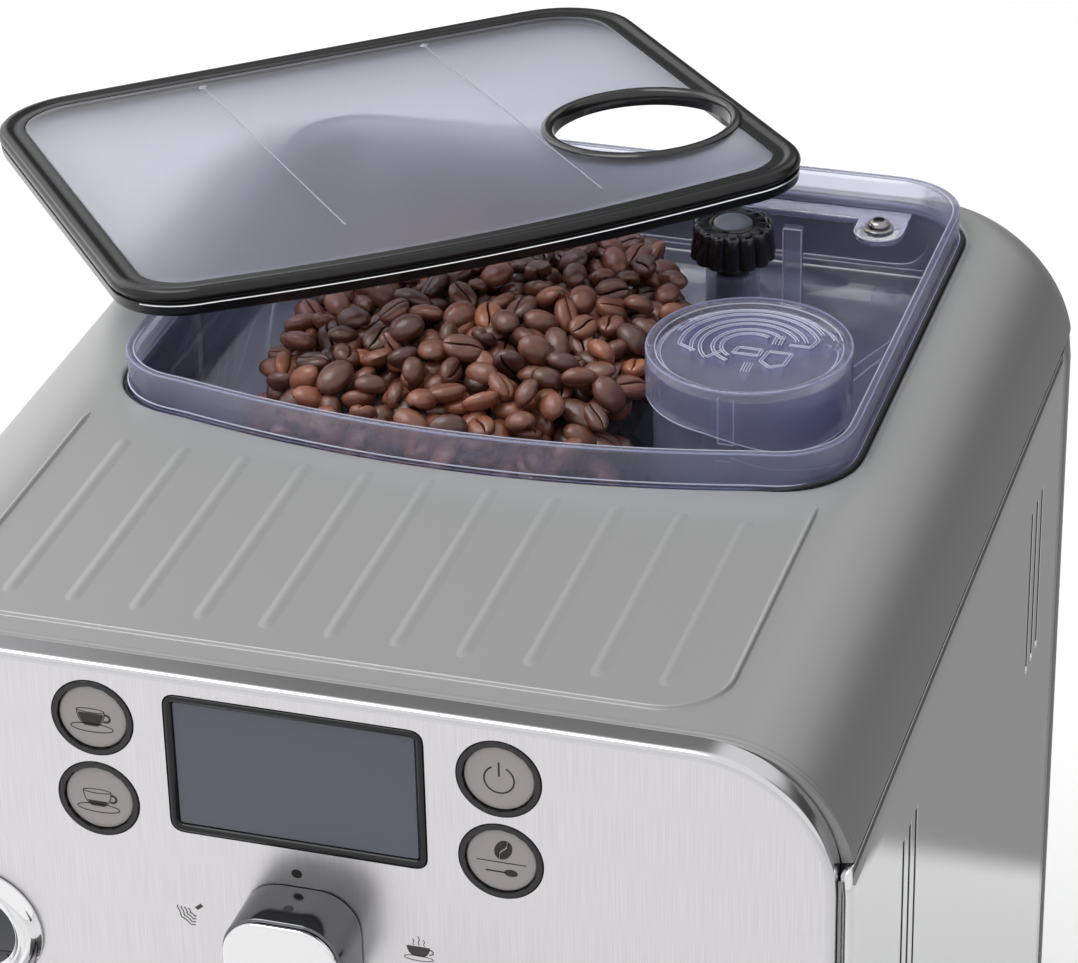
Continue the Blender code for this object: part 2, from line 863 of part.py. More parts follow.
def make_top_cover():
    wide = half_width + overrun
    region = ((-wide, wide), (across(shell_front), back + overrun), (seam, body_top + overrun))
    cover = body_shell("top_cover", region)
    opening = hopper_outline(-hopper_opening_gap)
    cut(cover, slab("hopper_opening", opening, "z", seam, body_top + overrun))
    centre = body_top + rib_rise - rib_radius
    ribs = []
    for number in range(rib_count):
        x = (number - (rib_count - 1) / 2) * rib_pitch
        ends = (x, across(rib_start), centre), (x, across(rib_end), centre)
        ribs.append(cylinder("rib", rib_radius, *ends, sides=10))
    join(cover, many("ribs", ribs))
    pin = (door_axis_x, across(door_axis_y))
    lug = cylinder("pin_lug", pin_lug_radius, (*pin, seam), (*pin, seam + pin_lug_height))
    hole = (*pin, seam - overrun), (*pin, seam + pin_seat)
    join(cover, lug)
    cut(cover, cylinder("pin_hole", door_pin_radius + fit_gap, *hole, sides=16))
    z = body_top + bead_rise - bead_radius
    turn = bead_half_width - bead_corner
    left = arc((-turn, across(bead_front + bead_corner)), bead_corner, 180, 270, 6)
    right = arc((turn, across(bead_front + bead_corner)), bead_corner, 270, 360, 6)
    run = [(-bead_half_width, across(bead_back))] + left + right + [(bead_half_width, across(bead_back))]
    join(cover, tube("bead", [(x, y, z) for x, y in run], bead_radius, sides=1))


def front_tool(name, x, drop, radius):
    """A round tool through the front panel and its carrier."""
    ends = (x, front - overrun, below(drop)), (x, across(carrier_back + overrun), below(drop))
    return cylinder(name, radius, *ends)


def button_places():
    names = (("button_long_coffee", "button_espresso"), ("button_power", "button_ground_coffee"))
    for side, column in zip((-1, 1), names):
        for row, name in enumerate(column):
            yield name, side * button_x, button_upper_drop + row * button_pitch


def display_outline(inset):
    corner = max(display_radius - inset, display_radius / 4)
    return rounded(
        -display_half_width + inset, display_half_width - inset,
        below(display_top + display_height - inset), below(display_top + inset), corner, 3,
    )


def make_front_panel():
    pan = slab("front_panel", pan_outline(0.0), "y", front, across(pan_depth), brushed_steel)
    edge = pan.modifiers.new("edge", "BEVEL")
    edge.width = pan_edge
    edge.segments = 2
    edge.limit_method = "WEIGHT"
    weights = pan.data.attributes.new("bevel_weight_edge", "FLOAT", "EDGE")
    for rim in pan.data.edges:
        ends = [pan.data.vertices[i].co.y for i in rim.vertices]
        weights.data[rim.index].value = float(max(ends) < across(pan_wall))
    pan.modifiers.new("triangles", "TRIANGULATE")
    hollow = slab("pan_hollow", pan_outline(pan_wall), "y", across(pan_wall), across(pan_depth + overrun))
    cut(pan, hollow)

    outline = arched(carrier_half_width, pan_low + pan_wall + fit_gap, below(carrier_drop), carrier_radius)
    carrier = slab("panel_carrier", outline, "y", across(pan_wall + fit_gap), across(carrier_back),
                   black_plastic)
    posts = []
    for x in (-board_post_x, board_post_x):
        z = below(board_post_drop)
        ends = (x, across(carrier_back - pan_wall), z), (x, across(board_front() - fit_gap), z)
        posts.append(cylinder("post", board_post_radius, *ends, sides=12))
    join(carrier, many("board_posts", posts))

    bores = []
    holes = []
    collars = []
    through = (front - overrun, across(carrier_back + overrun))
    for x, drop, radius in (
        (0.0, dial_drop, dial_shaft_radius + fit_gap), (boss_x, boss_drop, boss_pin_radius + fit_gap),
    ):
        bores.append(front_tool("bore", x, drop, radius))
        holes.append(front_tool("hole", x, drop, radius))
    for name, x, drop in button_places():
        collar = button_radius + button_ring
        ends = (x, across(-fit_gap), below(drop)), (x, across(carrier_back / 2), below(drop))
        collars.append(cylinder(name + "_collar", collar, *ends))
        bores.append(front_tool("bore", x, drop, button_radius + fit_gap))
        holes.append(front_tool("hole", x, drop, collar + fit_gap))
    bores.append(slab("bore", display_outline(-fit_gap), "y", *through))
    holes.append(slab("hole", display_outline(-fit_gap), "y", *through))
    cut(pan, many("pan_holes", holes))
    join(carrier, many("button_collars", collars))
    cut(carrier, many("carrier_bores", bores))


def board_front():
    """Depth of the circuit board's near face: behind the pressed buttons."""
    return carrier_back + fit_gap + button_flange + button_travel + run_gap


def make_display_and_buttons():
    bezel = slab("display_bezel", display_outline(0.0), "y", across(-display_stand_out),
                 across(carrier_back), charcoal)
    opening = slab("display_opening", display_outline(display_frame), "y", front - overrun,
                   across(window_depth + window_thickness + fit_gap))
    rear = slab("display_rear", display_outline(display_sill), "y", front, across(carrier_back + overrun))
    cut(bezel, opening, rear)
    slab("display_window", display_outline(display_frame + fit_gap), "y", across(window_depth),
         across(window_depth + window_thickness), display_glass)

    for name, x, drop in button_places():
        place_of = (x, front, below(drop))
        face = -button_sink
        lip = -(carrier_back + fit_gap)
        button = [
            (0.0, face), (button_radius - button_sink, face), (button_radius, face - button_sink),
            (button_radius, lip), (button_radius + button_ring - fit_gap, lip),
            (button_radius + button_ring - fit_gap, lip - button_flange), (0.0, lip - button_flange),
        ]
        turned(name, button, place_of, key_grey, facing=(0, -1, 0), steps=16)

    start = board_front()
    top = display_top + button_sink * 10
    block("control_board", (-board_half_width, board_half_width),
          (across(start), across(start + board_thickness)),
          (below(top + board_height), below(top)), green_board)


def make_dial():
    """The steam and hot water selector: a square knob with round corners, a bright face and a shaft."""
    half = dial_width / 2
    z = below(dial_drop)
    outline = rounded(-half, half, z - half, z + half, dial_corner, 6)
    dial = slab("selector_dial", outline, "y", across(-dial_depth), across(-fit_gap), dark_chrome)
    shaft = cylinder("dial_shaft", dial_shaft_radius, (0.0, across(-dial_depth / 2), z),
                     (0.0, across(dial_shaft_length), z), sides=20)
    join(dial, shaft)
    inset = dial_face / 2
    outline = rounded(-half + inset, half - inset, z - half + inset, z + half - inset,
                      dial_corner - inset, 6)
    start = -dial_depth - fit_gap - dial_face
    slab("selector_face", outline, "y", across(start), across(-dial_depth - fit_gap), chrome)

    place_of = (boss_x, front, below(boss_drop))
    ring = boss_radius - boss_height / 2
    profile = [
        (0.0, boss_height), (ring / 2, boss_height - pan_wall / 2), (ring - pan_wall, boss_height - pan_wall * 2),
        (ring, boss_height - pan_wall), (boss_radius, boss_height / 2), (boss_radius, fit_gap),
        (boss_pin_radius, fit_gap), (boss_pin_radius, -carrier_back + pan_wall), (0.0, -carrier_back + pan_wall),
    ]
    turned("round_boss", profile, place_of, chrome, facing=(0, -1, 0))


def hopper_ring(inset, drop):
    return [(x, y, below(drop)) for x, y in hopper_outline(inset)]


def bowl_ring(radius, drop):
    """A circle round the grinder's mouth whose points face those of the hopper's outline."""
    middle = across((hopper_front + hopper_back) / 2)
    half_depth = (hopper_back - hopper_front) / 2
    ring = []
    for x, y in hopper_outline(0.0):
        angle = math.atan2((y - middle) / half_depth, (x - hopper_x) / hopper_half_width)
        ring.append((radius * math.cos(angle), across(grinder_y) + radius * math.sin(angle), below(drop)))
    return ring


def make_hopper():
    rings = [
        hopper_ring(0.0, -hopper_rise), hopper_ring(hopper_wall / 2, wall_drop),
        bowl_ring(bowl_radius, floor_drop), bowl_ring(mouth_radius, mouth_drop),
    ]
    shape = bmesh.new()
    rows = [[shape.verts.new(point) for point in ring] for ring in rings]
    for high, low in zip(rows, rows[1:]):
        for i in range(len(low)):
            j = (i + 1) % len(low)
            shape.faces.new((high[j], high[i], low[i], low[j]))
    mesh = bpy.data.meshes.new("bean_hopper")
    shape.to_mesh(mesh)
    shape.free()
    mesh.shade_smooth()
    mesh.set_sharp_from_angle(angle=math.radians(32))
    hopper = place("bean_hopper", mesh, clear)
    wall = hopper.modifiers.new("wall", "SOLIDIFY")
    wall.thickness = hopper_wall
    wall.offset = -1.0
    wall.use_even_offset = True
    hopper.modifiers.new("triangles", "TRIANGULATE")

    wall_face = across(hopper_back - hopper_wall / 2)
    straight = hopper_half_width - hopper_corner
    ledge = block(
        "hopper_ledge", (hopper_x - straight, hopper_x + straight),
        (across(hopper_back - hopper_wall - ledge_width), wall_face),
        (below(ledge_drop + ledge_thickness), below(ledge_drop)),
    )
    join(hopper, ledge)
    lug_low = below(wall_drop + lug_radius)
    lug_top = below(ledge_drop)
    for side, name in ((-1, "left"), (1, "right")):
        x = hopper_x + side * lug_x
        y = across(lug_y)
        column = cylinder("lug_" + name, lug_radius, (x, y, lug_low), (x, y, lug_top + fit_gap / 2), sides=14)
        web_x = (x - lug_radius, x + lug_radius)
        web = block("lug_web_" + name, web_x, (y, wall_face), (lug_low, lug_top + fit_gap))
        join(hopper, column, web)
        bore = (x, y, lug_top - screw_length - fit_gap), (x, y, lug_top + overrun)
        cut(hopper, cylinder("lug_bore_" + name, screw_radius + fit_gap, *bore, sides=12))
        seat = fit_gap * 2
        face = seat + washer_height
        profile = [
            (0.0, face + screw_head_height), (screw_head_radius / 2, face + screw_head_height * 0.9),
            (screw_head_radius, face), (washer_radius, face), (washer_radius, seat),
            (screw_radius, seat), (screw_radius, -screw_length), (0.0, -screw_length),
        ]
        turned("hopper_screw_" + name, profile, (x, y, lug_top), aluminium, steps=12)

    tower = stem_radius + run_gap + tower_wall
    axis = (knob_x, across(knob_y))
    join(hopper, cylinder("stem_tower", tower, (*axis, below(floor_drop)), (*axis, below(tower_drop)), sides=18))
    post = block(
        "hopper_post", (post_x, post_x + post_width), (axis[1] - post_depth / 2, axis[1] + post_depth / 2),
        (below(floor_drop), below(-post_rise)),
    )
    join(hopper, post)
    bore = (*axis, below(mouth_drop)), (*axis, body_top)
    cut(hopper, cylinder("stem_bore", stem_radius + run_gap, *bore, sides=18))
    axis = (doser_x, across(doser_y))
    hole = (*axis, below(mouth_drop)), (*axis, body_top + overrun)
    cut(hopper, cylinder("doser_hole", doser_radius + fit_gap, *hole, sides=28))


def make_doser():
    centre = (doser_x, across(doser_y), body_top)
    foot = -deck_drop + fit_gap
    inner = doser_radius - doser_wall
    neck = doser_neck_radius - doser_wall
    neck_top = foot + doser_neck_height
    profile = [
        (doser_radius, doser_rise), (doser_radius, -mouth_drop), (doser_neck_radius, neck_top),
        (doser_neck_radius, foot), (neck, foot), (neck, neck_top), (inner, -mouth_drop), (inner, doser_rise),
    ]
    turned("doser_tube", profile, centre, clear, closed=True, steps=24)

    floor = doser_rise + fit_gap + cap_wall
    rim = cap_radius - cap_wall
    profile = [(0.0, floor)]
    for number in (1, 2):
        radius = rim * number / 3
        profile += [
            (radius, floor), (radius + cap_rib / 4, floor + cap_rib),
            (radius + cap_rib, floor + cap_rib), (radius + cap_rib * 5 / 4, floor),
        ]
    profile += [
        (rim, floor), (rim, floor + cap_well), (cap_radius, floor + cap_well),
        (cap_radius, floor + cap_well - cap_skirt), (rim, floor + cap_well - cap_skirt),
        (rim, floor - cap_wall), (0.0, floor - cap_wall),
    ]
    turned("doser_cap", profile, centre, clear)


def fluted_ring(radius, z):
    ring = []
    count = knob_flutes * 3
    for i in range(count):
        angle = 2 * math.pi * i / count
        r = radius * (1 - knob_flute_share * (0.5 - 0.5 * math.cos(knob_flutes * angle)))
        ring.append((knob_x + r * math.cos(angle), across(knob_y) + r * math.sin(angle), z))
    return ring


def make_knob():
    top = below(-knob_top)
    chamfer = knob_insert_rise
    rings = [
        fluted_ring(knob_radius_low, top - knob_height),
        fluted_ring(knob_radius_top, top - chamfer),
        fluted_ring(knob_radius_top - chamfer, top),
    ]
    knob = loft("grinder_knob", rings, gloss_black)
    axis = (knob_x, across(knob_y))
    stem_low, stem_top = (*axis, deck_top - stem_bite), (*axis, top - knob_height / 2)
    stem = cylinder("knob_stem", stem_radius, stem_low, stem_top)
    join(knob, stem)
    pocket = top - knob_insert_rise * 2
    cut(knob, cylinder("knob_pocket", knob_insert_radius + fit_gap, (*axis, pocket), (*axis, top + overrun)))
    profile = [
        (0.0, knob_insert_rise), (knob_insert_radius * 0.7, knob_insert_rise / 2),
        (knob_insert_radius, -knob_insert_rise / 2),
        (knob_insert_radius, -knob_insert_rise * 2 + fit_gap), (0.0, -knob_insert_rise * 2 + fit_gap),
    ]
    turned("knob_insert", profile, (*axis, top), smoke, steps=20)


def make_beans():
    """The coffee in the hopper as one heap, clear of the knob's tower."""
    rings = []
    for spread, height in bean_shares:
        half = min(bean_left + bean_right, bean_front + bean_back) * spread * bean_corner_share
        outline = rounded(
            -bean_left * spread, bean_right * spread,
            across(grinder_y - bean_front * spread), across(grinder_y + bean_back * spread), half, 4,
        )
        z = below(mouth_drop) + (mouth_drop + bean_heap) * height
        rings.append([(x, y, z) for x, y in outline])
    beans = loft("bean_fill", rings, bean_brown)
    axis = (knob_x, across(knob_y))
    tower = stem_radius + run_gap + tower_wall + bean_gap
    cut(beans, cylinder("bean_tower", tower, (*axis, below(mouth_drop)), (*axis, body_top + overrun)))
    skirt = knob_radius_low + bean_gap
    ends = (*axis, below(knob_height + bean_gap - knob_top)), (*axis, body_top + overrun * 2)
    cut(beans, cylinder("bean_knob", skirt, *ends))


def make_grinder():
    base = deck_top + fit_gap
    centre = (0.0, across(grinder_y), base)
    top = below(mouth_drop) - fit_gap - base
    neck_low = top - grinder_neck_height
    mouth = mouth_radius - hopper_wall
    shaft = burr_shaft_radius + run_gap
    seat = grinder_floor + burr_height
    profile = [
        (grinder_neck, top), (grinder_neck, neck_low), (grinder_radius, grinder_shoulder),
        (grinder_radius, seat), (grinder_bore, seat), (mouth, grinder_shoulder), (mouth, top),
    ]
    turned("grinder_collar", profile, centre, black_plastic, closed=True, steps=16)
    profile = [
        (grinder_radius, seat - fit_gap), (grinder_radius, 0.0), (shaft, 0.0), (shaft, grinder_floor),
        (grinder_bore, grinder_floor), (grinder_bore, seat - fit_gap),
    ]
    turned("grinder_housing", profile, centre, black_plastic, closed=True, steps=16)
    low = grinder_floor + run_gap
    profile = [
        (0.0, low + burr_height), (burr_radius / 2, low + burr_height), (burr_radius, low + burr_height / 4),
        (burr_radius, low), (burr_shaft_radius, low),
        (burr_shaft_radius, -deck_thickness - motor_seat), (0.0, -deck_thickness - motor_seat),
    ]
    turned("grinder_burr", profile, centre, aluminium)
    head = -deck_thickness - fit_gap * 2
    seat = head - motor_seat - run_gap
    profile = [
        (0.0, seat), (shaft, seat), (shaft, head),
        (motor_radius, head), (motor_radius, head - motor_length), (0.0, head - motor_length),
    ]
    turned("grinder_motor", profile, centre, aluminium)


def make_chassis():
    start = across(inside_front)
    deck = block("upper_deck", (-inner_half, inner_half), (start, across(deck_back)),
                 (deck_low, deck_top), black_plastic)
    for name, x, y, radius in (
        ("shaft_hole", 0.0, grinder_y, burr_shaft_radius + run_gap),
        ("doser_drop", doser_x, doser_y, doser_neck_radius - doser_wall),
        ("stem_seat", knob_x, knob_y, stem_radius + fit_gap),
    ):
        ends = (x, across(y), deck_low - overrun), (x, across(y), deck_top + overrun)
        cut(deck, cylinder(name, radius, *ends))

    floor_low = bay_floor_height - bay_floor_thickness
    end = across(bay_back)
    floor = block("bay_floor", (bay_left - wall_thickness, inner_half), (start, end),
                  (floor_low, bay_floor_height), black_plastic)
    stand = plate_top + fit_gap
    lap = bay_floor_thickness / 2
    left = block("bay_left_leg", (bay_left - wall_thickness, bay_left), (start, end), (stand, drawer_top))
    middle = block("bay_middle_leg", (wall_left, wall_right), (start, end), (stand, floor_low + lap))
    right = block("bay_right_leg", (inner_half - wall_thickness, inner_half), (start, end),
                  (stand, floor_low + lap))
    join(floor, left, middle, right)
    block("centre_wall", (wall_left, wall_right), (start, across(deck_back)),
          (drawer_low, deck_low - fit_gap), black_plastic)


def make_lower_front():
    left = -inner_half
    right = wall_left - fit_gap
    stand = plate_top + fit_gap
    top = pan_low - fit_gap
    leg = bay_left - wall_thickness - fit_gap
    start, end = across(lower_front_back), across(lower_front_back + lower_front_thickness)
    leg_right = -drawer_left
    outline = [
        (left, stand), (leg_right, stand), (leg_right, lower_front_low), (right, lower_front_low),
        (right, top), (left, top),
    ]
    panel = slab("lower_front", outline, "y", start, end, gloss_black)
    rail = block("spout_rail", (-rail_half_width, rail_half_width),
                 (across(lower_front_back - rail_reach), across(lower_front_back + lower_front_thickness / 2)),
                 (lower_front_low + rail_low, top - rail_low))
    pivot = (wand_x, wand_pivot_height)
    boss = cylinder("wand_boss", wand_boss_radius,
                    (pivot[0], across(lower_front_back - wand_boss_length), pivot[1]),
                    (pivot[0], across(lower_front_back + lower_front_thickness / 2), pivot[1]), sides=28)
    join(panel, rail, boss)
    cut(panel, cylinder("wand_bore", wand_shaft_radius + fit_gap, (pivot[0], front - overrun, pivot[1]),
                        (pivot[0], end + overrun, pivot[1]), sides=20))


def make_spout():
    rail_face = lower_front_back - rail_reach
    block_back = rail_face - run_gap
    low = spout_low + nozzle_length
    top = spout_low + spout_height
    outline = (
        arc((spout_half_width - spout_corner, across(spout_corner - spout_reach)), spout_corner, -90, 0, 5)
        + [(spout_half_width, across(block_back)), (-spout_half_width, across(block_back))]
        + arc((-spout_half_width + spout_corner, across(spout_corner - spout_reach)), spout_corner, 180, 270, 5)
    )
    spout = slab("spout_body", outline, "z", low, top, gloss_black)
    shoe_half = rail_half_width * 2
    shoe = block("spout_shoe", (-shoe_half, shoe_half),
                 (across(block_back - rail_reach), across(lower_front_back - run_gap)), (low, top - spout_step))
    nozzle_y = across(-spout_reach / 2 - spout_corner / 2)
    nozzles = [
        cylinder("nozzle", nozzle_radius, (x, nozzle_y, spout_low), (x, nozzle_y, low + nozzle_length / 2))
        for x in (-nozzle_x, nozzle_x)
    ]
    join(spout, shoe, many("nozzles", nozzles))
    slot = rail_half_width + run_gap
    channel = block("spout_channel", (-slot, slot), (across(block_back), across(lower_front_back + overrun)),
                    (low - overrun, top + overrun))
    bores = [
        cylinder("bore", nozzle_bore, (x, nozzle_y, spout_low - overrun), (x, nozzle_y, low + nozzle_length / 2))
        for x in (-nozzle_x, nozzle_x)
    ]
    cut(spout, channel, many("nozzle_bores", bores))
    face = spout_half_width - spout_corner
    block("spout_trim", (-face, face), (across(-spout_reach - fit_gap - pan_wall), across(-spout_reach - fit_gap)),
          (low + spout_step / 2, top - spout_step / 2), chrome)


def make_wand():
    knuckle_back = lower_front_back - wand_boss_length - fit_gap
    knuckle_front = knuckle_back - wand_knuckle_length
    y = across((knuckle_back + knuckle_front) / 2)
    x, z = wand_x, wand_pivot_height
    wand = cylinder("steam_wand", wand_knuckle_radius, (x, across(knuckle_front), z), (x, across(knuckle_back), z),
                    dark_chrome)
    soften(wand, wand_knuckle_radius / 8, 1)
    shaft = cylinder("wand_shaft", wand_shaft_radius, (x, across(knuckle_back - wand_boss_length / 2), z),
                     (x, across(lower_front_back + lower_front_thickness), z), sides=20)
    tip = z - wand_length
    pipe = cylinder("wand_pipe", wand_pipe_radius, (x, y, z), (x, y, tip), sides=16)
    join(wand, shaft, pipe)
    bore = wand_pipe_radius + fit_gap
    grip_top = z - wand_knuckle_radius - grip_length / 2
    grip_low = grip_top - grip_length
    grip = [
        (grip_radius - grip_radius / 8, grip_top), (grip_radius, grip_top - grip_length / 8),
        (grip_radius, grip_low + grip_length / 8), (grip_radius - grip_radius / 8, grip_low),
        (bore, grip_low), (bore, grip_top),
    ]
    turned("wand_grip", grip, (x, y, 0.0), rubber, closed=True, steps=20)
    sleeve_top = grip_low - fit_gap
    sleeve_low = sleeve_top - sleeve_length
    sleeve = [
        (sleeve_radius * 0.8, sleeve_top), (sleeve_radius, sleeve_top - sleeve_radius / 2),
        (sleeve_radius, sleeve_low), (bore, sleeve_low), (bore, sleeve_top),
    ]
    turned("wand_sleeve", sleeve, (x, y, 0.0), chrome, closed=True, steps=20)


def tray_outline(inset):
    low = front - tray_reach + inset
    high = front - tray_back_gap - inset
    half = tray_half_width - inset
    near, far = tray_corner - inset, tray_rear_corner - inset
    return (
        arc((half - near, low + near), near, -90, 0, 7)
        + arc((half - far, high - far), far, 0, 90, 3)
        + arc((-half + far, high - far), far, 90, 180, 3)
        + arc((-half + near, low + near), near, 180, 270, 7)
    )


def make_drip_tray():
    tray = slab("drip_tray", tray_outline(0.0), "z", tray_bottom, tray_height, black_plastic)
    seat = tray_height - grid_seat
    well_low = plate_top + fit_gap + tray_floor
    upper = slab("tray_upper", tray_outline(tray_wall), "z", seat, tray_height + overrun)
    well = slab("tray_well", tray_outline(tray_wall + tray_ledge), "z", well_low, tray_height + overrun)
    start = front - tray_reach + tongue_inset - run_gap
    slot = block("tray_slot", (-tongue_half_width - run_gap, tongue_half_width + run_gap),
                 (start, front + overrun), (tray_bottom - overrun, plate_top + fit_gap))
    cut(tray, upper, well, slot)

    grid_low = seat + fit_gap
    grid_top = grid_low + grid_thickness
    grid = slab("drip_grid", tray_outline(tray_wall + run_gap), "z", grid_low, grid_top, brushed_steel)
    near, far = front - tray_reach + grid_margin, front - tray_back_gap - grid_margin
    middle = (near + far) / 2
    span = tray_half_width - tray_corner
    slots = []
    for number in range(grid_slots):
        x = span * (2 * number / (grid_slots - 1) - 1)
        edges = (x - grid_slot_width / 2, x + grid_slot_width / 2)
        through = (grid_low - overrun, grid_top + overrun)
        slots.append(block("slot", edges, (near, middle - grid_bar / 2), through))
        slots.append(block("slot", edges, (middle + grid_bar / 2, far), through))
    cut(grid, many("grid_slots", slots))
    x, y = float_x, front - tray_reach + float_y
    stem_hole = (x, y, grid_low - overrun), (x, y, grid_top + overrun)
    cut(grid, cylinder("float_hole", float_stem_radius + run_gap, *stem_hole))
    base = well_low + fit_gap
    profile = [
        (0.0, grid_top), (float_stem_radius, grid_top), (float_stem_radius, base + float_height),
        (float_radius, base + float_height), (float_radius, base), (0.0, base),
    ]
    turned("tray_float", profile, (x, y, 0.0), float_red, steps=20)


def make_grounds_drawer():
    left = -drawer_left + fit_gap
    right = wall_left - run_gap
    start, end = across(lower_front_back), across(drawer_back)
    drawer = block("grounds_drawer", (left, right), (start, end), (drawer_low, drawer_top), gloss_black)
    inner = start + grip_depth + drawer_wall
    hollow = block("drawer_hollow", (left + drawer_wall, right - drawer_wall), (inner, end - drawer_wall),
                   (drawer_low + drawer_wall, drawer_top + overrun))
    middle = (left + right) / 2
    high = drawer_top - grip_height
    grip = block("drawer_grip", (middle - grip_width / 2, middle + grip_width / 2),
                 (start - overrun, start + grip_depth), (high - grip_height, high))
    cut(drawer, hollow, grip)


def make_tank():
    left, right = wall_left + fit_gap, inner_half - fit_gap
    low, high = drawer_low, pan_low - fit_gap
    fascia = block("tank_front", (left, right), (front, across(tank_front_depth)), (low, high), brushed_steel)
    middle = (left + right) / 2
    grip_top = high - tank_grip_drop
    grip = block("tank_grip", (middle - grip_width / 2, middle + grip_width / 2),
                 (front - overrun, across(tank_grip_depth)), (grip_top - grip_height, grip_top))
    sill = low + tank_window_low
    slot = block("tank_window", (middle - tank_window_width / 2, middle + tank_window_width / 2),
                 (front - overrun, across(tank_front_depth + overrun)), (sill, sill + tank_window_height))
    cut(fascia, grip, slot)
    start = across(tank_front_depth + fit_gap)
    box_left, box_right = wall_right + run_gap, inner_half - fit_gap
    end = across(tank_back)
    top = deck_low - run_gap
    tank = block("water_tank", (box_left, box_right), (start, end), (low, top), smoke)
    hollow = block("tank_hollow", (box_left + tank_wall, box_right - tank_wall),
                   (start + tank_wall, end - tank_wall), (low + tank_wall, top + overrun))
    cut(tank, hollow)


def make_brewing():
    stand = plate_top + fit_gap
    top = deck_low - fit_gap
    half_x, half_y = group_width / 2, group_depth / 2
    group = block("brew_group", (group_x - half_x, group_x + half_x),
                  (across(group_y - half_y), across(group_y + half_y)), (stand, top), black_plastic)
    soften(group, group_floor / 4, 1)
    axis = (group_x, across(group_y))
    bore_low = bay_floor_height + group_floor
    bore = cylinder("group_bore", group_bore, (*axis, bore_low), (*axis, top + overrun), sides=32)
    chute_low = top - doser_neck_height * 2
    chute = cylinder("group_chute", group_chute_radius, (*axis, chute_low),
                     (doser_x, across(doser_y), top + fit_gap), sides=20)
    cut(group, bore, chute)
    piston = group_bore - run_gap
    base = bore_low + fit_gap
    profile = [
        (0.0, base + piston_height), (piston, base + piston_height), (piston, base + piston_height * 0.75),
        (piston - run_gap * 2, base + piston_height * 0.7), (piston, base + piston_height * 0.65),
        (piston, base), (0.0, base),
    ]
    turned("brew_piston", profile, (*axis, 0.0), silicone)

    base = deck_top + fit_gap
    lip = boiler_radius - wall_thickness
    band = boiler_height / 8
    profile = [
        (0.0, boiler_height), (lip, boiler_height), (lip, boiler_height - band),
        (boiler_radius, boiler_height - band),
        (boiler_radius, boiler_height - band * 2), (lip, boiler_height - band * 2), (lip, band),
        (boiler_radius, band), (boiler_radius, 0.0), (0.0, 0.0),
    ]
    turned("boiler", profile, (boiler_x, across(boiler_y), base), aluminium, steps=16)

    half = pump_coil / 2
    coil_y = (across(pump_y - half), across(pump_y + half))
    pump = block("pump", (pump_x - half, pump_x + half), coil_y, (stand, stand + pump_coil), black_plastic)
    middle = stand + half
    ends = (pump_x, across(pump_y - pump_length / 2), middle), (pump_x, across(pump_y + pump_length / 2), middle)
    join(pump, cylinder("pump_barrel", pump_radius, *ends, sides=20))

    start = Vector(ends[1]) + Vector((0.0, fit_gap, 0.0))
    rise_y = across(deck_back + hose_radius * 3)
    run_z = deck_top + boiler_height * 0.6
    finish_y = across(boiler_y) + lip + fit_gap
    knots = [
        start, start + Vector((0.0, overrun, 0.0)), (pump_x, rise_y, middle + overrun),
        (pump_x, rise_y, deck_low - overrun), (pump_x, rise_y, deck_top + overrun),
        (pump_x, across(deck_back - overrun * 2), run_z), (pump_x, across(grinder_y), run_z),
        (boiler_x, finish_y + overrun * 2, run_z), (boiler_x, finish_y, run_z),
    ]
    tube("pump_hose", smooth_run(knots, 3), hose_radius, silicone)


def lay(piece, place_of=(0.0, 0.0, 0.0)):
    """Puts a piece drawn in the lid's own axes where the lid lies."""
    turn = Euler([math.radians(angle) for angle in lid_turn_degrees]).to_matrix().to_4x4()
    x, y, z = lid_centre
    laid = Matrix.Translation((x, across(y), below(-z))) @ turn @ Matrix.Translation(place_of)
    piece.matrix_world = laid
    return piece


def make_lid():
    flange = lay(slab("lid_frame", lid_outline(0.0), "z", -lid_flange, 0.0, charcoal))
    skirt = lid_skirt_inset + lid_skirt_wall
    join(flange, lay(slab("lid_skirt", lid_outline(lid_skirt_inset), "z", -lid_height, -lid_flange / 2)))
    cut(
        flange,
        lay(slab("lid_opening", lid_outline(lid_border), "z", -overrun, overrun)),
        lay(slab("lid_under", lid_outline(skirt), "z", -lid_height - overrun, -lid_flange)),
    )
    pane_top = -fit_gap
    pane = lay(slab("lid_window", lid_outline(lid_border + fit_gap), "z", pane_top - lid_pane, pane_top, smoke))
    neck = (lid_ring_radius + lid_hole_radius) / 2
    ends = (lid_hole_x, lid_hole_y, -overrun), (lid_hole_x, lid_hole_y, overrun)
    hole = lay(cylinder("lid_hole", neck + fit_gap, *ends, sides=24))
    cut(pane, hole)
    cut(flange, hole)
    profile = [
        (lid_ring_radius, lid_ring_rise), (lid_ring_radius, 0.0), (neck, 0.0), (neck, -lid_pane * 2),
        (lid_hole_radius, -lid_pane * 2), (lid_hole_radius, lid_ring_rise),
    ]
    ring = turned("lid_ring", profile, (0.0, 0.0, 0.0), gloss_black, closed=True, steps=22)
    lay(ring, (lid_hole_x, lid_hole_y, 0.0))


make_base()
make_side_panels()
make_rear_cover()
make_top_cover()
make_front_panel()
make_display_and_buttons()
make_dial()
make_hopper()
make_doser()
make_knob()
make_beans()
make_grinder()
make_chassis()
make_lower_front()
make_spout()
make_wand()
make_drip_tray()
make_grounds_drawer()
make_tank()
make_brewing()
make_lid()


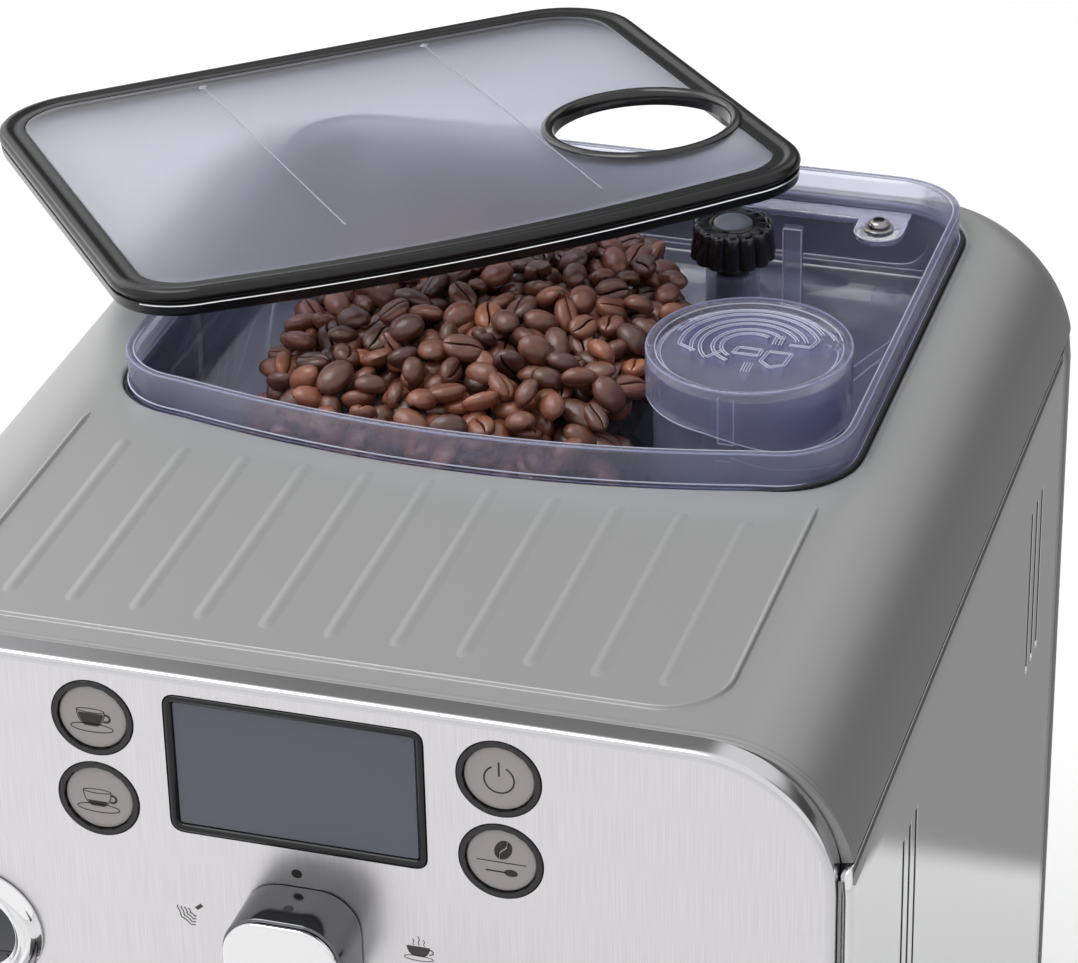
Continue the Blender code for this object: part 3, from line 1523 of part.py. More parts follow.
def carry(name, where, *pieces):
    """An empty on a joint's axis that carries its moving pieces and the tools that shape them."""
    empty = bpy.data.objects.new(name, None)
    empty.location = where
    parts.objects.link(empty)
    for piece in pieces:
        made = bpy.data.objects[piece]
        shaping = [step.object for step in made.modifiers if step.type == "BOOLEAN"]
        for item in [made] + shaping:
            item.parent = empty
            item.matrix_parent_inverse = Matrix.Translation(where).inverted()


def make_joints():
    for name, x, drop in button_places():
        carry(name + "_axis", (x, front, below(drop)), name)
    carry("selector_axis", (0.0, front, below(dial_drop)), "selector_dial", "selector_face")
    carry("knob_axis", (knob_x, across(knob_y), body_top), "grinder_knob", "knob_insert")
    carry("cap_axis", (doser_x, across(doser_y), body_top), "doser_cap")
    carry("burr_axis", (0.0, across(grinder_y), deck_top), "grinder_burr")
    carry("door_axis", (door_axis_x, across(door_axis_y), plate_top), "service_door")
    carry("switch_axis", (switch_x, back - switch_drum_depth, inlet_height), "main_switch")
    carry("spout_axis", (0.0, front, spout_low), "spout_body", "spout_trim")
    wand_y = across(lower_front_back)
    carry("wand_axis", (wand_x, wand_y, wand_pivot_height), "steam_wand", "wand_grip", "wand_sleeve")
    carry("tray_axis", (0.0, front, tray_bottom), "drip_tray")
    carry("grid_axis", (0.0, front, tray_height), "drip_grid")
    carry("float_axis", (float_x, front - tray_reach + float_y, tray_height), "tray_float")
    carry("drawer_axis", (0.0, front, drawer_low), "grounds_drawer")
    carry("tank_axis", (wall_x, front, drawer_low), "tank_front", "water_tank")
    carry("piston_axis", (group_x, across(group_y), bay_floor_height), "brew_piston")
    x, y, z = lid_centre
    carry("lid_axis", (x, across(y), below(-z)), "lid_frame", "lid_window", "lid_ring")
    for child, parent in (("grid_axis", "tray_axis"), ("float_axis", "tray_axis")):
        held = bpy.data.objects[child]
        held.parent = bpy.data.objects[parent]
        held.matrix_parent_inverse = Matrix.Translation(held.parent.location).inverted()


make_joints()
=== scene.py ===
"""Looks of a bean to cup coffee machine with its bean lid laid askew.

X runs to the machine's right, Y to its back and Z up, in metres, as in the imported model.
Sizes below are in millimetres where a line says so: depth is measured back from the front
panel's face and rise up from the flat top.
"""
import json
import math

import bmesh
import bpy
import numpy as np
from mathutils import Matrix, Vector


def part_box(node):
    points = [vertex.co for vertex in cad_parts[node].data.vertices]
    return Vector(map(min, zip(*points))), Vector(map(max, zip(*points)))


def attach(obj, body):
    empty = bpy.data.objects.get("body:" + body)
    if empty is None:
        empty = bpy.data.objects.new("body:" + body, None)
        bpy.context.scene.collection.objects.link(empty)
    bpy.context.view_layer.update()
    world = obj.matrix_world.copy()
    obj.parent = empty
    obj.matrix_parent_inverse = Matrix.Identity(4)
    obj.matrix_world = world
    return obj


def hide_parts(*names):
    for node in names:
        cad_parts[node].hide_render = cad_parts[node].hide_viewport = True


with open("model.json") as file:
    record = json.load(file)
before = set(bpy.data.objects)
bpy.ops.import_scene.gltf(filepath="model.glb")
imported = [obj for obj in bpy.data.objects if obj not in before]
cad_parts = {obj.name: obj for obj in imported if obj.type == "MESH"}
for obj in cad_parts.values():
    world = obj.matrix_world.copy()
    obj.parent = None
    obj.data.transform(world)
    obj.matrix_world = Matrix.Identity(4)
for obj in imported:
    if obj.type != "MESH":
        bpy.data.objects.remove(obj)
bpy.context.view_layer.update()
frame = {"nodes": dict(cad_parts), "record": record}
mm = 0.001

# The view: a long lens about a metre and a quarter away looks down over the machine's right
# front edge onto the hopper.
lens = bpy.data.cameras.new("view")
lens.lens = 139.70
lens.sensor_width = 36.0
lens.clip_start = 0.01
camera = bpy.data.objects.new("view", lens)
camera.location = (0.29002, -0.80404, 0.79900)
camera.rotation_euler = [math.radians(angle) for angle in (60.3949, 1.1522, 16.7893)]
bpy.context.scene.collection.objects.link(camera)
bpy.context.scene.camera = camera
bpy.context.scene.view_settings.view_transform = "Standard"

# The studio: a white table in a pale room that is darker to the back and the right. The camera
# and see-through rays meet pure white; a soft box overhead and one on the left light the machine.
def added(tree, kind, **values):
    """A shader node; each value goes into the socket of its name, as a link or as a number."""
    made = tree.nodes.new("ShaderNode" + kind)
    for name, value in values.items():
        feed(tree, made.inputs[name.replace("_", " ")], value)
    return made


def feed(tree, socket, value):
    """Links a socket to another node's, or sets it; a colour needs no fourth number."""
    if isinstance(value, bpy.types.NodeSocket):
        tree.links.new(value, socket)
    elif socket.type == "RGBA":
        socket.default_value = (*value, 1.0)
    else:
        socket.default_value = value


def look(name, slot, colour, roughness, metallic=0.0, grit=None, **more):
    """A Principled material with the grain that grit says. The slot is not used."""
    made = bpy.data.materials.new(name)
    made.use_nodes = True
    tree, shader = insides(made)
    for socket, value in dict(more, Base_Color=colour, Roughness=roughness, Metallic=metallic).items():
        feed(tree, shader.inputs[socket.replace("_", " ")], value)
    if grit:
        grain(tree, shader, *grit)
    return made


def insides(finish):
    """A material's node tree and its shader."""
    return finish.node_tree, finish.node_tree.nodes["Principled BSDF"]


def worked(tree, operation, *values):
    """One Math node: each value is a number or another node's socket."""
    made = added(tree, "Math")
    made.operation = operation
    for socket, value in zip(made.inputs, values):
        feed(tree, socket, value)
    return made.outputs[0]


def product(tree, value, *others):
    """Values multiplied together."""
    for other in others:
        value = worked(tree, "MULTIPLY", value, other)
    return value


def spread(tree, value, start, end, low=0.0, high=1.0):
    """An even step from low to high as a value goes from start to end."""
    made = added(tree, "MapRange", Value=value)
    for socket, number in zip(("From Min", "From Max", "To Min", "To Max"), (start, end, low, high)):
        made.inputs[socket].default_value = number
    return made


def eased(tree, *step):
    """The same as a smooth step."""
    made = spread(tree, *step)
    made.interpolation_type = "SMOOTHSTEP"
    return made.outputs["Result"]


def split_place(tree, output):
    """The x, y and z sockets of a texture coordinate."""
    parts = added(tree, "SeparateXYZ", Vector=added(tree, "TexCoord").outputs[output])
    return [parts.outputs[axis] for axis in "XYZ"]


def ray_kinds(tree):
    """Whether a ray comes from the camera or through something clear, and whether it is a gloss."""
    rays = added(tree, "LightPath").outputs
    return worked(tree, "MAXIMUM", rays["Is Camera Ray"], rays["Is Transmission Ray"]), rays["Is Glossy Ray"]


world = bpy.data.worlds.new("studio")
world.use_nodes = True
bpy.context.scene.world = world
tree = world.node_tree
seen, glossy = ray_kinds(tree)
x, y, z = split_place(tree, "Generated")
dark_wall = product(tree, eased(tree, y, 0.15, 0.6), eased(tree, z, 0.80, 0.60), eased(tree, x, -0.50, -0.30))
high_window = product(tree, eased(tree, x, -0.12, 0.05), eased(tree, x, 0.62, 0.42), eased(tree, z, 0.20, 0.38))
dark_wall = product(tree, dark_wall, worked(tree, "MULTIPLY_ADD", high_window, -0.85, 1.0))
depth_of_dark = worked(tree, "MULTIPLY_ADD", eased(tree, z, 0.36, 0.12), -0.15, -0.78)
mirrored = worked(tree, "MULTIPLY_ADD", dark_wall, depth_of_dark, 1.0)
falling = eased(tree, x, -0.9, 0.8, 0.95, 0.08)
strength = worked(tree, "ADD", product(tree, mirrored, glossy),
                  product(tree, falling, worked(tree, "SUBTRACT", 1.0, glossy)))
feed(tree, tree.nodes["Background"].inputs["Strength"], worked(tree, "MAXIMUM", strength, seen))
feed(tree, tree.nodes["Background"].inputs["Color"], (1.0, 1.0, 1.0))

table_white = look("table_white", None, (0.86, 0.86, 0.86), 0.6, Emission_Color=(1.0, 1.0, 1.0))
tree, shader = insides(table_white)
seen, glossy = ray_kinds(tree)
feed(tree, shader.inputs["Emission Strength"],
     worked(tree, "ADD", product(tree, seen, 0.36), product(tree, glossy, 0.21)))
x, y, z = split_place(tree, "Object")
# Seen in gloss, the part of the table behind and to the right of the machine is a dim flat glow instead: a
# painted darker reflection.
dim_far_table = product(tree, eased(tree, y, 0.322, 0.340), eased(tree, x, 0.06, 0.14), glossy)
shade = added(tree, "Emission", Strength=0.30)
mix = added(tree, "MixShader", Fac=dim_far_table)
feed(tree, mix.inputs[1], shader.outputs["BSDF"])
feed(tree, mix.inputs[2], shade.outputs["Emission"])
feed(tree, tree.nodes["Material Output"].inputs["Surface"], mix.outputs["Shader"])
table = bpy.data.meshes.new("table")
reach = 4.0
table.from_pydata([(-reach, -reach, 0), (reach, -reach, 0), (reach, reach, 0), (-reach, reach, 0)],
                  [], [(0, 1, 2, 3)])
table.materials.append(table_white)
table = bpy.data.objects.new("table", table)
bpy.context.scene.collection.objects.link(table)

for name, place, aim, size, power in (
    ("soft_box_overhead", (-0.55, -0.12, 1.68), (0, 0.02, 0.25), 1, 10.6),
    ("soft_box_left", (-1.3, 0.5, 1), (0, 0, 0.25), 1.2, 5),
):
    lamp = bpy.data.lights.new(name, "AREA")
    lamp.size = size
    lamp.energy = power
    hung = bpy.data.objects.new(name, lamp)
    hung.location = place
    toward = np.array(aim) - np.array(place)
    across_floor = math.hypot(toward[0], toward[1])
    hung.rotation_euler = (math.atan2(across_floor, -toward[2]), 0.0, math.atan2(-toward[0], toward[1]))
    bpy.context.scene.collection.objects.link(hung)


# Top cover: one pressed steel sheet with rolled shoulders, painted satin silver grey. Its edge
# turns down round the hopper; eleven ribs and a thin border bead are pressed up from below.
front_y = -70.0
top_z = 298.0
body_half = 128.0
body_depth = 290.0
shoulder = 33.0
rear_corner = 25.0
rear_edge = 8.0
seam_rise = -26.5
shell_start = 7.3


def place_of(x, depth, rise):
    """Millimetres across, behind the front and above the flat top, as points in metres."""
    return np.stack(np.broadcast_arrays(x, front_y + depth, top_z + rise), axis=-1) * mm


def surface(name, points, wrap=(False, False), turn=False, left_out=None, weld=0.0):
    """A grid of points made a mesh: one quad to each cell. wrap joins the last row or column to
    the first, turn swaps the facing, left_out marks open cells and weld merges points."""
    rows, columns = points.shape[:2]
    index = np.arange(rows * columns).reshape(rows, columns)
    if wrap[0]:
        index = np.concatenate([index, index[:1]])
    if wrap[1]:
        index = np.concatenate([index, index[:, :1]], axis=1)
    quads = np.stack([index[:-1, :-1], index[:-1, 1:], index[1:, 1:], index[1:, :-1]], axis=-1)
    if turn:
        quads = quads[..., ::-1]
    quads = quads.reshape(-1, 4) if left_out is None else quads[~left_out]
    mesh = bpy.data.meshes.new(name)
    mesh.vertices.add(rows * columns)
    mesh.vertices.foreach_set("co", points.reshape(-1).astype(np.float32))
    mesh.loops.add(quads.size)
    mesh.loops.foreach_set("vertex_index", quads.reshape(-1).astype(np.int32))
    mesh.polygons.add(len(quads))
    mesh.polygons.foreach_set("loop_start", np.arange(len(quads), dtype=np.int32) * 4)
    mesh.update(calc_edges=True)
    mesh.validate()
    return reworked(mesh, weld) if weld else mesh


def reworked(mesh, weld=0.0, flat=0.0, outward=False, more=()):
    """The mesh with others added, points nearer than weld millimetres merged, faces that meet
    flatter than an angle made one, and all faces turned outward."""
    shape = bmesh.new()
    for part in (mesh, *more):
        shape.from_mesh(part)
    if weld:
        bmesh.ops.remove_doubles(shape, verts=shape.verts, dist=weld * mm)
    if flat:
        bmesh.ops.dissolve_limit(shape, angle_limit=math.radians(flat), verts=shape.verts, edges=shape.edges)
    if outward:
        bmesh.ops.recalc_face_normals(shape, faces=shape.faces)
    shape.to_mesh(mesh)
    shape.free()
    return mesh


def joined(name, meshes, weld=0.0):
    """Several meshes as one."""
    made = reworked(bpy.data.meshes.new(name), weld, more=meshes)
    for mesh in meshes:
        bpy.data.meshes.remove(mesh)
    return made


def marked(mesh, name, values):
    """The mesh with a value at each point, for a finish to read."""
    mesh.attributes.new(name, "FLOAT", "POINT").data.foreach_set("value", values.reshape(-1).astype(np.float32))
    return mesh


body_of = {node: body for body, nodes in frame["record"]["behaviour"]["bodies"].items() for node in nodes}


def piece(mesh, finish, place, sharp=35.0):
    """A finished piece: smooth up to an angle and in its finish. Its place is the node that it
    replaces, on whose body it rides, or else a body's name."""
    mesh.shade_smooth()
    mesh.set_sharp_from_angle(angle=math.radians(sharp))
    mesh.materials.append(finish)
    made = bpy.data.objects.new(mesh.name, mesh)
    bpy.context.scene.collection.objects.link(made)
    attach(made, body_of.get(place, place))
    if place in body_of:
        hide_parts(place)
    return made


def thick(made, wall):
    """Gives a sheet its wall, inward."""
    step = made.modifiers.new("wall", "SOLIDIFY")
    step.thickness = wall * mm
    step.offset = -1.0
    step.use_even_offset = True


def baked(mesh, *steps):
    """The mesh with modifiers worked in: each step is (type, settings)."""
    worn = bpy.data.objects.new("working", mesh)
    bpy.context.scene.collection.objects.link(worn)
    for kind, settings in steps:
        step = worn.modifiers.new(kind, kind)
        for key, value in settings.items():
            setattr(step, key, value)
    seen = worn.evaluated_get(bpy.context.evaluated_depsgraph_get())
    made = bpy.data.meshes.new_from_object(seen)
    made.name = mesh.name
    bpy.data.objects.remove(worn)
    return made


def grain(tree, shader, scale, strength, depth, stretch=(1.0, 1.0, 1.0), detail=3.0):
    """Fine noise in the surface's height: scale is cells to the metre, depth is in metres."""
    size = added(tree, "Mapping", Vector=added(tree, "TexCoord").outputs["Object"], Scale=stretch)
    noise = added(tree, "TexNoise", Vector=size.outputs["Vector"], Scale=scale, Detail=detail).outputs["Fac"]
    feed(tree, shader.inputs["Normal"],
         added(tree, "Bump", Strength=strength, Distance=depth, Height=noise).outputs["Normal"])
    return noise


def bowed_loop(half, near, far, near_corner, far_corner, bow, centre=0.0, count=480):
    """A closed outline seen from above, counterclockwise: straight sides and back, round corners
    and a near side that bows out as a parabola; evenly spaced points, blended at the joins."""
    span = half - near_corner
    share = np.linspace(-1.0, 1.0, 60)
    quarter = np.radians(np.linspace(0.0, 90.0, 24))

    def corner(x, y, radius, turn):
        return np.stack([x + radius * np.cos(quarter + turn), y + radius * np.sin(quarter + turn)], 1)

    loop = np.concatenate([
        np.stack([share * span, near - bow * (1.0 - share**2)], 1),
        corner(span, near + near_corner, near_corner, -math.pi / 2),
        corner(half - far_corner, far - far_corner, far_corner, 0.0),
        corner(far_corner - half, far - far_corner, far_corner, math.pi / 2),
        corner(-span, near + near_corner, near_corner, math.pi),
    ])
    loop = np.concatenate([loop, loop[:1]])
    step = np.hypot(*np.diff(loop, axis=0).T)
    run = np.concatenate([[0.0], np.cumsum(step)])
    even = np.linspace(0.0, run[-1], count, endpoint=False)
    loop = np.stack([np.interp(even, run, loop[:, i]) for i in (0, 1)], 1)
    for _ in range(6):
        loop = 0.5 * loop + 0.25 * (np.roll(loop, 1, axis=0) + np.roll(loop, -1, axis=0))
    return loop + [centre, 0.0]


def drawn_in(loop, inset):
    """The outline moved inwards along its own normals."""
    return loop + inset * left_of(np.roll(loop, -1, axis=0) - np.roll(loop, 1, axis=0))


def left_of(along):
    """Unit steps to the left of the steps along a path."""
    return np.stack([-along[:, 1], along[:, 0]], 1) / np.hypot(*along.T)[:, None]


def body_skin(p, depth):
    """The body's outer skin. p runs over the section from seam to seam as the sheet lies flat:
    flat top, then a quarter round of the shoulder's radius. At the back the plan turns in
    round the rear corner and the top rolls down."""
    flat = body_half - shoulder
    reach = 1.0 - np.clip((depth - (body_depth - rear_corner)) / rear_corner, 0.0, 1.0) ** 2
    side_in = rear_corner * (1.0 - np.sqrt(reach))
    reach = 1.0 - np.clip((depth - (body_depth - rear_edge)) / rear_edge, 0.0, 1.0) ** 2
    drop = rear_edge * (1.0 - np.sqrt(reach))
    last = np.arccos((shoulder + seam_rise + drop) / shoulder)
    past = np.clip((np.abs(p) - flat) / (flat_reach - flat), 0.0, 1.0) * last
    x = np.clip(np.abs(p) / flat, 0.0, 1.0) * (flat - side_in) + shoulder * np.sin(past)
    return place_of(np.sign(p) * x, depth, shoulder * (np.cos(past) - 1.0) - drop)


flat_reach = body_half - shoulder + shoulder * math.acos((shoulder + seam_rise) / shoulder)
hopper_half, hopper_x = 94.9, 2.6
hopper_loop = bowed_loop(hopper_half, 118.5, 278.5, 20.0, 20.0, 9.5, hopper_x)
mouth = [(-1.4, -3.4), (-1.4, -1.1), (-1.5, -0.6), (-1.8, -0.2), (-2.3, -0.03), (-2.8, 0)]
rim_rows = [place_of(*drawn_in(hopper_loop, inset).T, rise) for inset, rise in mouth]
edge = drawn_in(hopper_loop, -2.8)
middle = np.array([hopper_x, 196.0])
ray = edge - middle
stretch = np.minimum(
    np.where(ray[:, 0] > 0, flat_reach - middle[0], -flat_reach - middle[0]) / ray[:, 0],
    np.where(ray[:, 1] > 0, body_depth - middle[1], shell_start - middle[1]) / ray[:, 1],
)
far_edge = middle + ray * stretch[:, None]
for side, depth in ((1, body_depth), (-1, body_depth), (1, shell_start), (-1, shell_start)):
    spot = np.array([side * flat_reach, depth])
    far_edge[np.argmin(np.hypot(*(far_edge - spot).T))] = spot
share = np.linspace(0.0, 1.0, 56)[1:, None, None]
sheet = edge + (far_edge - edge) * share
cover_rows = np.concatenate([rim_rows, body_skin(sheet[..., 0], sheet[..., 1])])
across = np.linspace(-flat_reach, flat_reach, 121)
arch = body_skin(across, np.full_like(across, body_depth))
foot = arch.copy()
foot[:, 2] = (top_z + seam_rise) * mm
back_cap = arch + (foot - arch) * np.linspace(0.0, 1.0, 6)[:, None, None]


def skin_out(p, depth, out):
    """A place on the skin raised along the section's own normal, which leans out round the shoulder."""
    past = np.clip((np.abs(p) - (body_half - shoulder)) / shoulder, 0.0, None)
    lean = np.stack(np.broadcast_arrays(np.sign(p) * np.sin(past), 0.0, np.cos(past)), -1)
    return body_skin(p, depth) + lean * out[..., None] * mm


# The front edge is folded under, with a fine set line pressed behind the fold.
fold = np.array([(10.9, -0.02), (10.4, 0.06), (9.8, 0.13), (9.3, 0.08), (9, 0), (8.8, 0.07), (8.4, 0.14),
                 (8, 0.12), (7.6, -0.02), (7.4, -0.35), (7.3, -0.9), (7.3, -2.6)])
across = np.linspace(-flat_reach, flat_reach, 241)
lip = skin_out(across[None, :], fold[:, :1] + 0.0 * across, fold[:, 1:] + 0.0 * across)

satin_grey = look("satin_grey_paint", "satin_grey", (0.40, 0.405, 0.40), 0.34, 0.25,
                  grit=(2600.0, 0.12, 0.00004))
cover = joined("cover_sheet", [surface("sheet", cover_rows, (False, True), turn=True),
                               surface("cap", back_cap)], 0.02)
cover = baked(cover, ("SOLIDIFY", {"thickness": 0.9 * mm, "offset": -1.0, "use_even_offset": False}))
piece(cover, satin_grey, "top_cover")
piece(surface("cover_lip", lip, turn=True), satin_grey, "machine")


def ridge(path, half, height, taper, power=1.0):
    """A pressed ridge along a path on the flat top: its section is a raised cosine to a power,
    and its height dies away over the taper at both ends."""
    path = np.asarray(path, float)
    side = left_of(np.gradient(path, axis=0))
    run = np.concatenate([[0.0], np.cumsum(np.hypot(*np.diff(path, axis=0).T))])
    fade = np.clip(np.minimum(run, run[-1] - run) / taper, 0.0, 1.0) if taper else np.ones(len(run))
    fade = np.sin(fade * math.pi / 2)
    over = np.linspace(-1.0, 1.0, 13)
    spot = path[:, None] + side[:, None] * (over * half)[None, :, None] * (0.6 + 0.4 * fade)[:, None, None]
    rise = height * (0.5 * (1.0 + np.cos(math.pi * over)))[None, :] ** power * fade[:, None]
    return surface("ridge", place_of(spot[..., 0], spot[..., 1], rise - 0.012), turn=True)


rib_pitch = 15.88
ribs = [
    ridge(np.stack([np.full(70, k * rib_pitch), np.linspace(26.0, 101.5, 70)], 1), 2.3, 0.26, 2.2)
    for k in range(-5, 6)
]
turned = np.radians(np.linspace(0.0, 90.0, 30))
bead_path = np.concatenate([
    np.stack([np.full(60, -93.7), np.linspace(112.6, 33.5, 60)], 1),
    np.stack([-77.7 - 16.0 * np.cos(turned), 33.0 - 16.0 * np.sin(turned)], 1),
    np.stack([np.linspace(-77.2, 77.2, 120), np.full(120, 17.0)], 1),
    np.stack([77.7 + 16.0 * np.sin(turned), 33.0 - 16.0 * np.cos(turned)], 1),
    np.stack([np.full(60, 93.7), np.linspace(33.5, 112.6, 60)], 1),
])
ribs.append(ridge(bead_path, 1.0, 0.80, 6.0, 0.8))
piece(joined("cover_ribs", ribs), satin_grey, "machine")


# Side panels: flat painted steel, each with two groups of three upright grooves for air. The
# right one is the service door, whose rear edge is rolled round two pins.
panel_low = 7.1 - top_z
side_silver = look("silver_lacquer", "satin_grey", (0.76, 0.76, 0.765), 0.12, 0.9, grit=(1800.0, 0.05, 0.00003))
panel_high = -27.3
slot_top, slot_foot = -55.0, -103.8
grooves = [middle + step * 6.8 for middle in (65.5, 222.7) for step in (-1, 0, 1)]


def panel_grid(name, start, end, sign):
    """A side panel's outer face: x follows the body's section and sinks by a round-bottomed
    groove wherever a groove runs; rows and columns close up round each groove's edges."""
    near = np.concatenate([np.linspace(start, end, 60)] + [g + np.linspace(-1.5, 1.5, 13) for g in grooves])
    depth = np.unique(np.round(near[(near >= start) & (near <= end)], 3))
    ends = [v + w for v in (slot_top, slot_foot) for w in np.linspace(-1.6, 1.6, 13)]
    rise = np.unique(np.round(np.concatenate([np.linspace(panel_low, panel_high, 50), ends]), 3))
    over = np.clip(rise + shoulder, 0.0, None)
    x = body_half - shoulder + np.sqrt(shoulder**2 - over**2)
    sunk_and_painted_shade = sum(np.clip(1.0 - ((depth - g) / 1.2) ** 2, 0.0, None) for g in grooves)
    past = np.clip(np.maximum(rise - slot_top + 0.8, slot_foot + 0.8 - rise) / 1.2, 0.0, 1.0)
    deep = 1.3 * np.sqrt(np.clip(sunk_and_painted_shade, 0.0, 1.0))[:, None] * np.sqrt(1.0 - past**2)[None, :]
    mesh = surface(name, place_of(sign * (x[None, :] - deep), depth[:, None], rise[None, :]), turn=sign > 0)
    # The sunk share goes on the mesh as the mask for painted shade in the grooves.
    return marked(mesh, "sunk_and_painted_shade", deep / 1.3 * (rise > slot_foot + 1.0))


# The grooves' bottoms are painted near black: painted shade where air slots would show dark, as no slots are
# cut through.
def attribute(tree, name):
    """The value that a mesh carries under a name."""
    made = added(tree, "Attribute")
    made.attribute_name = name
    return made.outputs["Fac"]


def mixed(tree, share, first, second):
    """A colour between two, each given as three numbers or as another node's socket."""
    made = added(tree, "Mix")
    made.data_type = "RGBA"
    for socket, value in (("Factor", share), ("A", first), ("B", second)):
        feed(tree, made.inputs[socket], value)
    return made.outputs["Result"]


# Painted shade: the silver turns near black where the grooves sink deepest.
tree, shader = insides(side_silver)
feed(tree, shader.inputs["Base Color"],
     mixed(tree, eased(tree, attribute(tree, "sunk_and_painted_shade"), 0.02, 0.12), (0.76, 0.76, 0.765), (0.03, 0.03, 0.032)))
left = panel_grid("left_panel_sheet", 3.0, 263.0, -1.0)
# A black strip lies in each seam under the cover's edge: painted shadow of the gap.
seam_ends = np.array([-27.5, -26.3])[:, None]
seam_x = body_half - shoulder + np.sqrt(shoulder**2 - (seam_ends + shoulder)**2) - 0.15
seams = [surface("seam", place_of(side * seam_x, np.linspace(8.0, 257.0, 60), seam_ends), turn=side < 0)
         for side in (-1.0, 1.0)]
seam_black = look("seam_shadow_black", "black_plastic", (0.02, 0.02, 0.021), 0.6, grit=(2000.0, 0.1, 0.00002))
piece(joined("seam_shadow_strips", seams), seam_black, "machine")
thick(piece(left, side_silver, "left_side_panel"), 2.0)
door_end = 258.5
door = panel_grid("door_sheet", 3.0, door_end, 1.0)
round_turn = np.radians(np.linspace(0.0, 360.0, 41)[:-1])
roll = np.array([0.0, 1.9, 4.5, 4.5, 1.9, 0.0])
roll_rise = np.array([panel_low, panel_low, panel_low, panel_high, panel_high, panel_high])
rolled = surface("roll", place_of(
    122.8 + roll[:, None] * np.cos(round_turn), door_end + roll[:, None] * np.sin(round_turn),
    roll_rise[:, None]), (False, True), weld=0.01)
thick(piece(door, side_silver, "service_door"), 2.0)
piece(rolled, side_silver, "door")


# Front panel: a shallow pan pressed from brushed stainless steel, its edge rolled back all
# round, with holes for the display, the four keys, the selector and the round boss.
def raised(name, loop, section, put, kind="solid", weld=0.002):
    """A loop carried through a section of (inset, height) steps. In a solid the first and the last
    step are drawn together in the loop's middle, a ring joins the last step to the first, and a
    sheet stays open."""
    rows = [level(drawn_in(loop, inset), height) for inset, height in section]
    if kind == "solid":
        pole = 0.0 * loop + loop.mean(axis=0)
        rows = [level(pole, section[0][1])] + rows + [level(pole, section[-1][1])]
    return surface(name, put(*np.moveaxis(rows, -1, 0)), (kind == "ring", True), weld=weld)


def level(loop, height):
    """An outline with a height at each point."""
    return np.column_stack([loop, np.broadcast_to(height, len(loop))])


def on_front(x, rise, out):
    """Places drawn on the front panel: across, up from the flat top and out of the panel."""
    return place_of(x, -out, rise)


def circle(radius, x=0.0, y=0.0, count=64):
    turn = np.linspace(0.0, 2.0 * math.pi, count, endpoint=False)
    return np.stack([x + radius * np.cos(turn), y + radius * np.sin(turn)], 1)


def rounded(radius, height, inset=None, steps=5):
    """Steps of a quarter round from a side up to a top; its middle is at (inset, height)."""
    turn = np.radians(np.linspace(180.0, 90.0, steps))[1:]
    return list(zip((radius if inset is None else inset) + radius * np.cos(turn),
                    height + radius * np.sin(turn)))


def filled(name, outline, holes, put):
    """A flat sheet inside an outline with holes left open."""
    shape = bmesh.new()
    for loop in [outline] + holes:
        ring = [shape.verts.new(p) for p in put(loop[:, 0], loop[:, 1], 0.0)]
        for a, b in zip(ring, ring[1:] + ring[:1]):
            shape.edges.new((a, b))
    bmesh.ops.triangle_fill(shape, use_beauty=True, edges=shape.edges)
    bmesh.ops.recalc_face_normals(shape, faces=shape.faces)
    mesh = bpy.data.meshes.new(name)
    shape.to_mesh(mesh)
    shape.free()
    return mesh


def walled(mesh, wall):
    """A sheet given its wall."""
    return baked(mesh, ("SOLIDIFY", {"thickness": wall * mm, "offset": -1.0, "use_even_offset": True}))


key_x, key_rows, key_radius, collar_radius = 48.4, (-13.5, -35.5), 8.3, 9.8
dial_rise, boss_place = -65.7, (-82, -77)
display_loop = bowed_loop(30.8, -41.0, -4.2, 2.4, 2.4, 0.0, count=400)
pan_loop = bowed_loop(125.0, -108.0, 1.0, 2.5, 32.5, 0.0, count=900)
key_spots = [(side * key_x, row) for side in (-1, 1) for row in key_rows]
pan_holes = [circle(collar_radius + 0.3, *spot, 64)[::-1] for spot in key_spots]
pan_holes += [drawn_in(display_loop, -0.3)[::2][::-1], circle(4.5, 0.0, dial_rise, 32)[::-1],
              circle(3.3, *boss_place, 32)[::-1]]
rolled_edge = [(0.4, -6.8), (0.05, -6.7), (0, -6.2), (0, -3.4), (0, -1.5)]
rolled_edge += rounded(1.3, -1.3, steps=8) + [(2, 0)]
pan_face = filled("pan_face", drawn_in(pan_loop, 2.0), pan_holes, on_front)
pan_rim = raised("pan_rim", pan_loop, rolled_edge, on_front, "sheet", weld=0.0)


def ramped(tree, value, *stops):
    """A colour that goes through stops of (place, colour) as a value rises."""
    made = added(tree, "ValToRGB", Fac=value)
    marks = made.color_ramp.elements
    for mark, (place, colour) in [(marks[0], stops[0]), (marks[-1], stops[-1])]:
        mark.position = place
        mark.color = (*colour, 1.0)
    for place, colour in stops[1:-1]:
        marks.new(place).color = (*colour, 1.0)
    return made.outputs["Color"]


brushed = look("brushed_steel", "brushed_steel", (0.74, 0.73, 0.74), 0.30, 1.0)
tree, shader = insides(brushed)
lines = grain(tree, shader, 1.0, 0.05, 0.00002, (5200.0, 5200.0, 60.0), 2.0)
feed(tree, shader.inputs["Roughness"], spread(tree, lines, 0.0, 1.0, 0.27, 0.34).outputs["Result"])
feed(tree, shader.inputs["Base Color"], ramped(tree, lines, (0.3, (0.69, 0.675, 0.69)),
                                               (0.7, (0.79, 0.775, 0.79))))
piece(walled(pan_face, 0.9), brushed, "front_panel")
polished = look("polished_steel_edge", "brushed_steel", (0.66, 0.655, 0.67), 0.16, 1.0,
                grit=(900.0, 0.04, 0.00001))
piece(walled(pan_rim, 0.9), polished, "machine")


